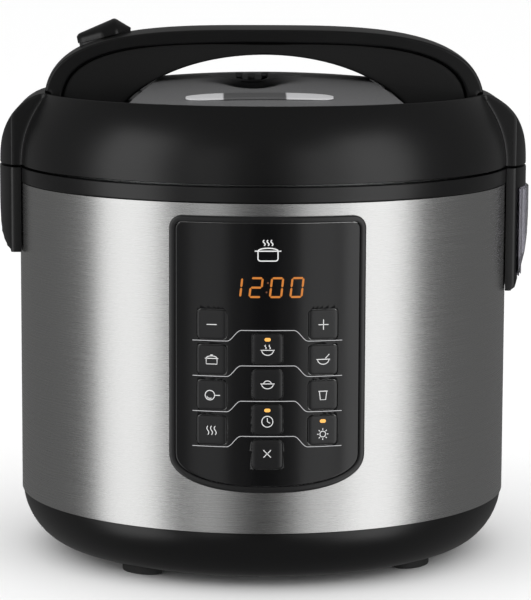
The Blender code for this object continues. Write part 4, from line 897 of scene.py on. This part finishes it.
segments = []
for index, digit in enumerate("1200"):
    for label in digit_segments[digit]:
        first, last = [np.array(end, float) for end in segment_ends[label]]
        trim = (last - first) / np.linalg.norm(last - first) * gap
        plate = hexagon(first + trim, last - trim, digit_stroke)
        plate[:, 0] += digit_start + digit_pitch * index + plate[:, 1] * math.tan(math.radians(6.2))
        segments.append((plate - [0, digit_tall / 2]) * MM + [0, display_middle])
amber = glowing("amber digits", (0.72, 0.235, 0.035), 1.0)
prisms("clock_digits", segments, -0.05 * MM, 0.03 * MM, on_panel, "base", "gloss_black", amber)

# The colon is unlit: its faint amber is a painted glow, so that its dots show dimly in the panel.
colon_painted_glow = glowing("unlit colon painted glow", (0.14, 0.05, 0.025), 1.0)
dots = [arc(x, y, 0.5, 0, 360 - 360 / 24)[:24] * MM + [0, display_middle] for x,
        y in ((0.0, 2.5), (-0.7, -2.5))]
prisms("clock_colon", dots, -0.05 * MM, 0.03 * MM, on_panel, "base", "gloss_black", colon_painted_glow)

lamp_amber = glowing("amber lamp", (1.0, 0.50, 0.11), 1.35)
lamp_shape = rounded_box(1.65 * MM, 0.95 * MM, 0.9 * MM)[0]
for name in ("key_centre_1", "key_centre_3", "key_right_3"):
    lift = 5.1 * MM
    prisms(f"lamp_{name[4:]}", [lamp_shape + [0, lift]], -0.1 * MM, 0.04 * MM, key_places[name][2], name,
           "key_black", lamp_amber)
dress(gloss_black, "display_module")

# ---------------------------------------------------------------- lid shell
# The lid is one deep moulding: a dome that leans in towards its rim, a recess in the top
# for the grey plate, and two ears that stand over the brackets.

seam_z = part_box("lid_shell")[0].z
rim_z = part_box("lid_shell")[1].z
lid_height = rim_z - seam_z
rim_radius = body_radius - 14 * MM
floor_z = rim_z - 6 * MM
lid_wall = 3 * MM


def dome_radius(height):
    """The dome leans in with the 2.2 power of the height above the seam."""
    share = np.clip((height - seam_z) / lid_height, 0, 1)
    return ring_radius - (ring_radius - rim_radius) * share ** 2.2


def soft_least(*fields, soft=0.45 * MM):
    """The least of several fields, with the corners between them rounded."""
    total = sum(np.exp(-(field - body_radius) / soft) for field in fields)
    return body_radius - soft * np.log(total)


def ear_radius(turn, height):
    """Distance from the axis to an ear's face: a round end, two flat sides and a quarter-ellipse top."""
    cosine, sine = np.abs(np.cos(turn)), np.abs(np.sin(turn))
    centre = body_radius + ear_reach - ear_bend
    round_end = centre * cosine + np.sqrt(np.maximum(ear_bend ** 2 - (centre * sine) ** 2, 0))
    flat_side = ear_half / np.maximum(sine, 0.12)
    start = rim_radius - 4.8 * MM
    share = np.clip((height - seam_z) / (lid_height + 0.5 * MM), 0, 1)
    top = start + (body_radius + ear_reach - start) * np.sqrt(1 - share ** 2)
    return soft_least(round_end + 0 * height, flat_side + 0 * height, top / np.maximum(cosine, 0.2))


stops = [(0, 10.4, 22), (10.4, 12.8, 24), (12.8, 167.2, 150), (167.2, 169.6, 24), (169.6, 190.4, 44),
         (190.4, 192.8, 24), (192.8, 347.2, 150), (347.2, 349.6, 24), (349.6, 360, 22)]
lid_turn = np.radians(np.concatenate([np.linspace(first, last, count, endpoint=False)
                                      for first, last, count in stops]))
dome_heights = np.linspace(seam_z, rim_z, 36)
recess = rim_radius - 1.8 * MM
under = floor_z - 2 * MM
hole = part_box("steam_vent_cap")[1].y + 6 * MM
inner_heights = np.linspace(under - 1.5 * MM, seam_z, 20)
lid_outline = np.concatenate([
    np.stack([dome_radius(dome_heights), dome_heights], -1), [(recess, rim_z), (recess, floor_z),
                                                              (hole, floor_z),
    (hole, under), (dome_radius(under) - lid_wall - 1.5 * MM, under)],
    np.stack([dome_radius(inner_heights) - lid_wall, inner_heights], -1)])
lid_outline = fillet(lid_outline, 0.8 * MM)
radius, height = lid_outline[:, :1], lid_outline[:, 1:]
drawn = dome_radius(height) - radius
ear = ear_radius(lid_turn[None], height) - drawn
soft = 0.5 * MM
shell_share, ear_share = (radius - body_radius) / soft, (ear - body_radius) / soft
blended = body_radius + soft * np.log(np.exp(shell_share) + np.exp(ear_share))
radius = np.where((drawn < 1.6 * MM) & (height < rim_z - 0.05 * MM), blended, radius + 0 * ear)
lid_points = np.stack([radius * np.cos(lid_turn), radius * np.sin(lid_turn), height + 0 * radius], -1)
put("lid_moulding", lid_points, quads(len(lid_outline), len(lid_turn), wrap_rows=True), "lid",
          "black_plastic", satin_black, "lid_shell", sharp=50)

# ---------------------------------------------------------------- grey top plate, steam vent and label
# A plate in dark grey metallic paint is let into the lid: a shallow dome, narrowest between
# the handle's feet.  The steam vent is a loose dished cap in it, behind a soft hollow, and
# a silver label with a darker middle is stuck on in front.

plate_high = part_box("lid_top_plate")[1].z
plate_edge = recess - 0.3 * MM
plate_fall = (plate_high - rim_z + 1.0 * MM) / recess ** 2


def plate_top(x, y):
    """The plate's dome falls with the square of the distance from the axis."""
    return plate_high - plate_fall * (x * x + y * y)


def metallic_paint_with_painted_shade():
    """Dark grey metallic paint: fine flakes change its gloss and tone, and a soft oval of painted shade
    darkens it round the hollow in front of the vent.
    """
    material, shader = paint("grey metallic paint", (0.14, 0.14, 0.143), 0.42, 0.55)
    tree = material.node_tree
    where = wire(tree, "ShaderNodeTexCoord").outputs["Object"]
    flake = wire(tree, "ShaderNodeTexVoronoi", Vector=where, Scale=2600.0)
    shade = wire(tree, "ShaderNodeMix", {"data_type": "RGBA"}, Factor=flake.outputs["Distance"])
    shade.inputs[6].default_value = (0.26, 0.26, 0.265, 1)
    shade.inputs[7].default_value = (0.16, 0.16, 0.163, 1)
    gloss = wire(tree, "ShaderNodeMapRange", Value=flake.outputs["Distance"], To_Min=0.38, To_Max=0.5)
    bump = wire(tree, "ShaderNodeBump", Height=flake.outputs["Distance"], Strength=0.06, Distance=0.0003)
    # Painted shade: the colour is mixed towards near black in an oval round the hollow in front of the vent.
    oval = wire(tree, "ShaderNodeMapping", Vector=where, Scale=(1 / shade_wide, 1 / shade_long, 0),
                Location=(-vent_x / shade_wide, -shade_middle / shade_long, 0))
    reach = wire(tree, "ShaderNodeVectorMath", {"operation": "LENGTH"}, i0=oval.outputs[0])
    painted_shade_fade = wire(tree, "ShaderNodeMapRange", {"interpolation_type": "SMOOTHSTEP"},
                Value=reach.outputs["Value"],
                From_Min=0.25, From_Max=1.0)
    hollow = wire(tree, "ShaderNodeMix", {"data_type": "RGBA"}, Factor=painted_shade_fade.outputs["Result"],
                  i6=(0.012, 0.012, 0.0125, 1), i7=shade.outputs[2])
    tree.links.new(hollow.outputs[2], shader.inputs["Base Color"])
    tree.links.new(gloss.outputs["Result"], shader.inputs["Roughness"])
    tree.links.new(bump.outputs["Normal"], shader.inputs["Normal"])
    return material


vent_low, vent_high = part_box("steam_vent_cap")
vent_x = (vent_low.x + vent_high.x) / 2
scoop_deepest, scoop_depth = -37 * MM, 5.2 * MM
# Middle and half sizes of the oval of painted shade on the grey paint.
shade_middle, shade_wide, shade_long = -36 * MM, 36 * MM, 30 * MM
grey_paint = metallic_paint_with_painted_shade()
grip_inset, grip_drop = 36.8 * MM, 14.4 * MM
cover_depth, grip_depth = 8.7 * MM, 6.7 * MM
arch_z = rim_z - 15.4 * MM
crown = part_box("handle_cover")[1].z - arch_z
hand_up = (plate_top(rim_radius / 2, 0) - arch_z + grip_drop) / (crown - cover_depth - grip_depth + grip_drop)
plate_clearance, plate_flare = 2.4 * MM, 21.2 * MM
waist = (rim_radius - grip_inset) * math.sqrt(1 - hand_up ** 2) - plate_clearance
plate_y = plate_edge * np.sin(np.linspace(-math.pi / 2, math.pi / 2, 161))
side_x = waist + plate_flare * (np.abs(plate_y) / rim_radius) ** 1.3
side_x = np.minimum(side_x, np.sqrt(np.maximum(plate_edge ** 2 - plate_y ** 2, 0)) + 0.01 * MM)
share_x = np.sin(np.linspace(-math.pi / 2, math.pi / 2, 101))


def scoop(x, y):
    """A soft hollow in front of the vent: a cosine bell across and along, steeper at the dish."""
    across = np.clip(np.abs(x - vent_x) / np.interp(y, [-80 * MM, -25 * MM], [12 * MM, 33 * MM]), 0, 1)
    along = np.clip((y - scoop_deepest) / np.where(y < scoop_deepest, 42 * MM, 17 * MM), -1, 1)
    return scoop_depth * (0.5 + 0.5 * np.cos(math.pi * across)) * (0.5 + 0.5 * np.cos(math.pi * along))


def plate_section(drop, edge_drop=0):
    """One level of the plate, from its left side to its right at each place along it."""
    x = share_x[None] * side_x[:, None]
    y = plate_y[:, None] + 0 * x
    return np.stack([x, y, plate_top(x, y) - scoop(x, y) - drop - edge_drop * np.abs(share_x[None]) ** 40],
                    -1)


upper, lower = plate_section(0, 0.5 * MM), plate_section(2.0 * MM)[:, ::-1]
lower[:, [0, -1], 2] = floor_z + 0.4 * MM
plate_loops = np.concatenate([upper, lower], 1)
plate = loft("grey_plate", plate_loops, "lid", "grey_paint", grey_paint, "lid_top_plate")
vent_radius = vent_high.y
bore = [(0, floor_z - 5 * MM), (vent_radius + 0.3 * MM, floor_z - 5 * MM),
        (vent_radius + 0.3 * MM, rim_z + 40 * MM), (0, rim_z + 40 * MM)]
cut(plate, turned("tool", bore, None, None, grey_paint, place=(vent_x, 0), radius=0, segments=96))

vent_bottom, vent_wall, vent_floor = vent_low.z + 1.5 * MM, 1.5 * MM, 0.6 * vent_high.y
slope = np.linspace(0, 1, 12)
vent_side = np.stack([vent_floor + (vent_radius - 1 * MM - vent_floor) * slope,
                      vent_bottom + (vent_high.z - vent_bottom) * (0.5 - 0.5 * np.cos(math.pi * slope))], -1)
vent_outline = np.concatenate([
    [(0, vent_bottom)], vent_side, [(vent_radius, vent_high.z), (vent_radius, vent_high.z - 1.5 * MM),
                                    (vent_floor + 1.5 * MM, vent_bottom - vent_wall),
                                    (0, vent_bottom - vent_wall)]])
vent = turned("steam_vent_dish", vent_outline, "steam_vent", "grey_paint", grey_paint, "steam_vent_cap",
              place=(vent_x, 0), radius=0.4 * MM, segments=128)
for corner in vent.data.vertices:
    lift = min(max((corner.co.z - vent_bottom) / (vent_high.z - vent_bottom), 0), 1)
    corner.co.z -= lift * scoop(corner.co.x, corner.co.y)
slots = [brick((vent_x + offset - 2 * MM, 0.72 * vent_radius, vent_low.z - 5 * MM),
               (vent_x + offset + 2 * MM, 0.88 * vent_radius, vent_high.z + 5 * MM))
         for offset in (-7.5 * MM, 0, 7.5 * MM)]
cut(vent, *slots)

strip_low, strip_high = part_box("plate_strip")
strip_half, strip_middle = (strip_high.x - strip_low.x) / 2, (strip_low.y + strip_high.y) / 2
strip_centre = (strip_high.x + strip_low.x) / 2
strip_x = strip_half * np.sin(np.linspace(-math.pi / 2, math.pi / 2, 81))
strip_deep = 6.6 * MM * (1 - (np.abs(strip_x) / strip_half) ** 6) ** 0.5 + 1.4 * MM
strip_y = np.concatenate([np.linspace(-1, 1, 14), np.linspace(1, -1, 14)])
strip_rise = np.concatenate([np.full(14, 0.3), [0.7], np.full(12, 0.98), [0.7]]) * MM
section_y = strip_middle + strip_y[None] * strip_deep[:, None]
section_x = strip_centre + strip_x[:, None] + 0 * section_y
strip_sections = np.stack([section_x, section_y, plate_top(section_x, section_y) + strip_rise[None]], -1)
window_half, window_middle = 17 * MM, -6.6 * MM


def label_film():
    """Silver film with a dark printed window across its middle."""
    material, shader = paint("silver label", (0.5, 0.5, 0.51), 0.35, 0.3)
    tree = material.node_tree
    where = wire(tree, "ShaderNodeTexCoord").outputs["Object"]
    across = wire(tree, "ShaderNodeSeparateXYZ", Vector=where).outputs["X"]
    offset = wire(tree, "ShaderNodeMath", {"operation": "SUBTRACT"}, i0=across, i1=window_middle)
    distance = wire(tree, "ShaderNodeMath", {"operation": "ABSOLUTE"}, i0=offset.outputs[0])
    window = wire(tree, "ShaderNodeMapRange", Value=distance.outputs[0],
                  From_Min=window_half - 0.5 * MM, From_Max=window_half + 0.5 * MM)
    shade = wire(tree, "ShaderNodeMix", {"data_type": "RGBA"}, Factor=window.outputs["Result"],
                 i6=(0.10, 0.10, 0.102, 1), i7=(0.62, 0.62, 0.63, 1))
    tree.links.new(shade.outputs[2], shader.inputs["Base Color"])
    return material


silver = label_film()
loft("silver_label", strip_sections, "lid", "silver_film", silver, "plate_strip")

# ---------------------------------------------------------------- handle
# A broad arch over the lid in two mouldings: the cover above, whose crown is a flattened
# superellipse, and a narrower grip below it with an elliptical hand hole.

cover_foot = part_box("handle_cover")[0].z - arch_z


def arch(half_width, height, power, start_at, count, drop=0.0):
    """Points of |x/a|^n + |z/b|^n = 1 from its right foot over the crown to its left foot."""
    start = math.asin(((start_at + drop) / height) ** (power / 2))
    turn = np.linspace(start, math.pi - start, count)
    x = np.sign(np.cos(turn)) * half_width * np.abs(np.cos(turn)) ** (2 / power)
    return np.stack([x, arch_z - drop + height * np.sin(turn) ** (2 / power)], -1)


def arch_band(outer, inner, half_width, corner, crowned):
    """Rounded sections carried along the band between two arches; the outer face falls away at both edges."""
    thick = np.linalg.norm(outer - inner, axis=1)
    out = (outer - inner) / thick[:, None]
    middle = (outer + inner) / 2
    section = rounded_box(np.full(len(outer), half_width), thick / 2, corner, steps=6, between=12)
    across, depth = section[..., 0], section[..., 1]
    depth = depth - crowned * (across / half_width) ** 2 * np.clip(depth / (thick[:, None] / 2), 0, 1)
    x = middle[:, :1] + out[:, :1] * depth
    z = middle[:, 1:] + out[:, 1:] * depth
    return np.stack([x, across, z], -1)


arch_count = 120
cover_outer = arch(rim_radius, crown, 3.2, cover_foot, arch_count)
cover_inner = arch(rim_radius - 10.8 * MM, crown - cover_depth, 3.4, cover_foot, arch_count)
cover_sections = arch_band(cover_outer, cover_inner, 30 * MM, 1.5 * MM, 1.2 * MM)
flat_radius = np.hypot(cover_sections[..., 0], cover_sections[..., 1])
held_in = np.where(cover_sections[..., 2] < rim_z + 0.3 * MM,
                   np.minimum(1, (recess - 0.3 * MM) / flat_radius), 1)
cover_sections[..., :2] *= held_in[..., None]
loft("handle_arch", cover_sections, "lid", "black_plastic", satin_black, "handle_cover")

grip_outer = arch(rim_radius - 10.85 * MM, crown - cover_depth - 0.05 * MM, 3.4, cover_foot, arch_count)
grip_inner = arch(rim_radius - grip_inset, crown - cover_depth - grip_depth + grip_drop, 2.0, cover_foot,
                  arch_count,
                  drop=grip_drop)
grip_black = plastic("grip black", (0.0016, 0.0016, 0.0017), 0.55, depth=0.12)
grip_sections = arch_band(grip_outer, grip_inner, 27.5 * MM, 2.0 * MM, 0)
loft("handle_grip", grip_sections, "lid", "black_plastic", grip_black, "handle_base")

# ---------------------------------------------------------------- pressure release knob
# A small lever on a raised seat at the left shoulder of the handle lifts the release valve
# when it is turned: a ridge with a blunt nose, moulded in the same black.

knob_x = rim_radius - 36.4 * MM
knob_share = (knob_x / rim_radius) ** 3.2
knob_z = arch_z + crown * (1 - knob_share) ** (1 / 3.2)
knob_slope = crown / rim_radius * (knob_x / rim_radius) ** 2.2 * (1 - knob_share) ** (1 / 3.2 - 1)
lean = math.atan(knob_slope)
knob_long, knob_wide, knob_tall = 31 * MM, 12.5 * MM, 9.1 * MM
back, front = -0.55 * knob_long, 0.45 * knob_long
knob_at = np.linspace(back, front, 40)
wide_at = np.interp(knob_at, [back, back + 3 * MM, -2 * MM, 0.45 * front, front],
                    [0.42 * knob_wide, 0.62 * knob_wide, knob_wide, 0.95 * knob_wide, 0.3 * knob_wide])
tall_at = np.interp(knob_at, [back, back + 1.2 * MM, 5.5 * MM, 6.5 * MM, front],
                    [4.4 * MM, 5.6 * MM, knob_tall - 0.2 * MM, knob_tall, 1.6 * MM])
smooth = np.array([0.25, 0.5, 0.25])
wide_at[1:-1] = np.convolve(wide_at, smooth, "valid")
tall_at[1:-1] = np.convolve(tall_at, smooth, "valid")
axis_along = np.array([math.cos(lean), 0, math.sin(lean)])
axis_up = np.array([-math.sin(lean), 0, math.cos(lean)])
left_half = arch(rim_radius, crown, 3.2, cover_foot, 600)[300:][::-1] - [-knob_x, knob_z]
seat_low = np.interp(knob_at, left_half @ axis_along[[0, 2]], left_half @ axis_up[[0, 2]])
knob_turn = np.linspace(0, math.pi, 25)
knob_y = wide_at[:, None] * np.sign(np.cos(knob_turn)) * np.abs(np.cos(knob_turn)) ** 0.9
knob_up = 0.4 * MM + (tall_at[:, None] - 0.4 * MM) * np.sin(knob_turn) ** 0.9
knob_local = np.stack([knob_at[:, None] + 0 * knob_y, knob_y, knob_up], -1)
seat_up = seat_low[:, None] - 0.6 * MM + (0.8 * MM - seat_low)[:, None] * np.minimum(1, 4 * np.sin(knob_turn))
seat_local = np.stack([0.97 * knob_local[..., 0], 0.94 * knob_y, seat_up], -1)


def on_shoulder(local):
    """From (along, across, up) at the knob's axis to the object's frame."""
    return (np.array([-knob_x, 0, knob_z]) + local[..., :1] * axis_along
            + local[..., 1:2] * np.array([0, 1, 0]) + local[..., 2:] * axis_up)


loft("lever_seat", on_shoulder(seat_local), "lid", "black_plastic", satin_black, "handle_cover")
loft("release_lever", on_shoulder(knob_local), "release_knob", "black_plastic", satin_black,
     "pressure_release_knob")

# ---------------------------------------------------------------- inner lid and its seal
# Under the lid an aluminium plate with a turned-down skirt carries six lugs for the
# bayonet.  A silicone ring round its edge seals against the pot's rim.

inner_low, inner_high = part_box("inner_lid")
top_z = inner_high.z - 4 * MM
skirt_radius = inner_high.x
skirt_in = skirt_radius - 1.5 * MM
lug_top = tooth_low - 2.7 * MM
middle_radius = body_radius - 40 * MM
inner_rows = [(0.01 * MM, top_z + 4 * MM, 0), (middle_radius * 0.5, top_z + 3.4 * MM, 0),
              (middle_radius, top_z + 1.5 * MM, 0), (middle_radius + 22 * MM, top_z + 1.5 * MM, 0),
              (skirt_radius - 1.6 * MM, top_z + 0.2 * MM, 0), (skirt_radius, top_z - 1.5 * MM, 0),
              (skirt_radius, inner_low.z, 0), (skirt_in, inner_low.z, 1), (skirt_in, lug_top, 1),
              (skirt_in, lug_top, 0), (skirt_in, top_z - 2.4 * MM, 0), (skirt_in - 2.2 * MM,
                                                                        top_z - 0.4 * MM, 0),
              (middle_radius + 21.5 * MM, top_z, 0), (middle_radius, top_z, 0),
              (middle_radius * 0.5, top_z + 1.9 * MM, 0), (0.01 * MM, top_z + 2.5 * MM, 0)]
lug_reach = vessel_radius + 2.7 * MM - skirt_in
loft("inner_cover", toothed(inner_rows, lug_reach, 30), "lid", "pot_metal", bare_aluminium,
                   "inner_lid", closed=True)
silicone, silicone_shader = paint("clear silicone", (0.72, 0.74, 0.76), 0.45)
silicone_shader.inputs["Subsurface Weight"].default_value = 0.25
silicone_shader.inputs["Subsurface Scale"].default_value = 0.004
silicone_tree = silicone.node_tree
skin_grain = wire(silicone_tree, "ShaderNodeGroup", {"node_tree": grain_group}, Grain_per_metre=700.0,
                  Depth=0.1,
                  Roughness=0.45, Patches=0.1)
silicone_tree.links.new(skin_grain.outputs["Roughness"], silicone_shader.inputs["Roughness"])
silicone_tree.links.new(skin_grain.outputs["Normal"], silicone_shader.inputs["Normal"])
dress(silicone, "sealing_ring", "float_valve_seal")
dress(bare_aluminium, "steam_filter_cap")

# ---------------------------------------------------------------- sizes and the end
# The model's box after the fine surfaces are made.

low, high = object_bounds()
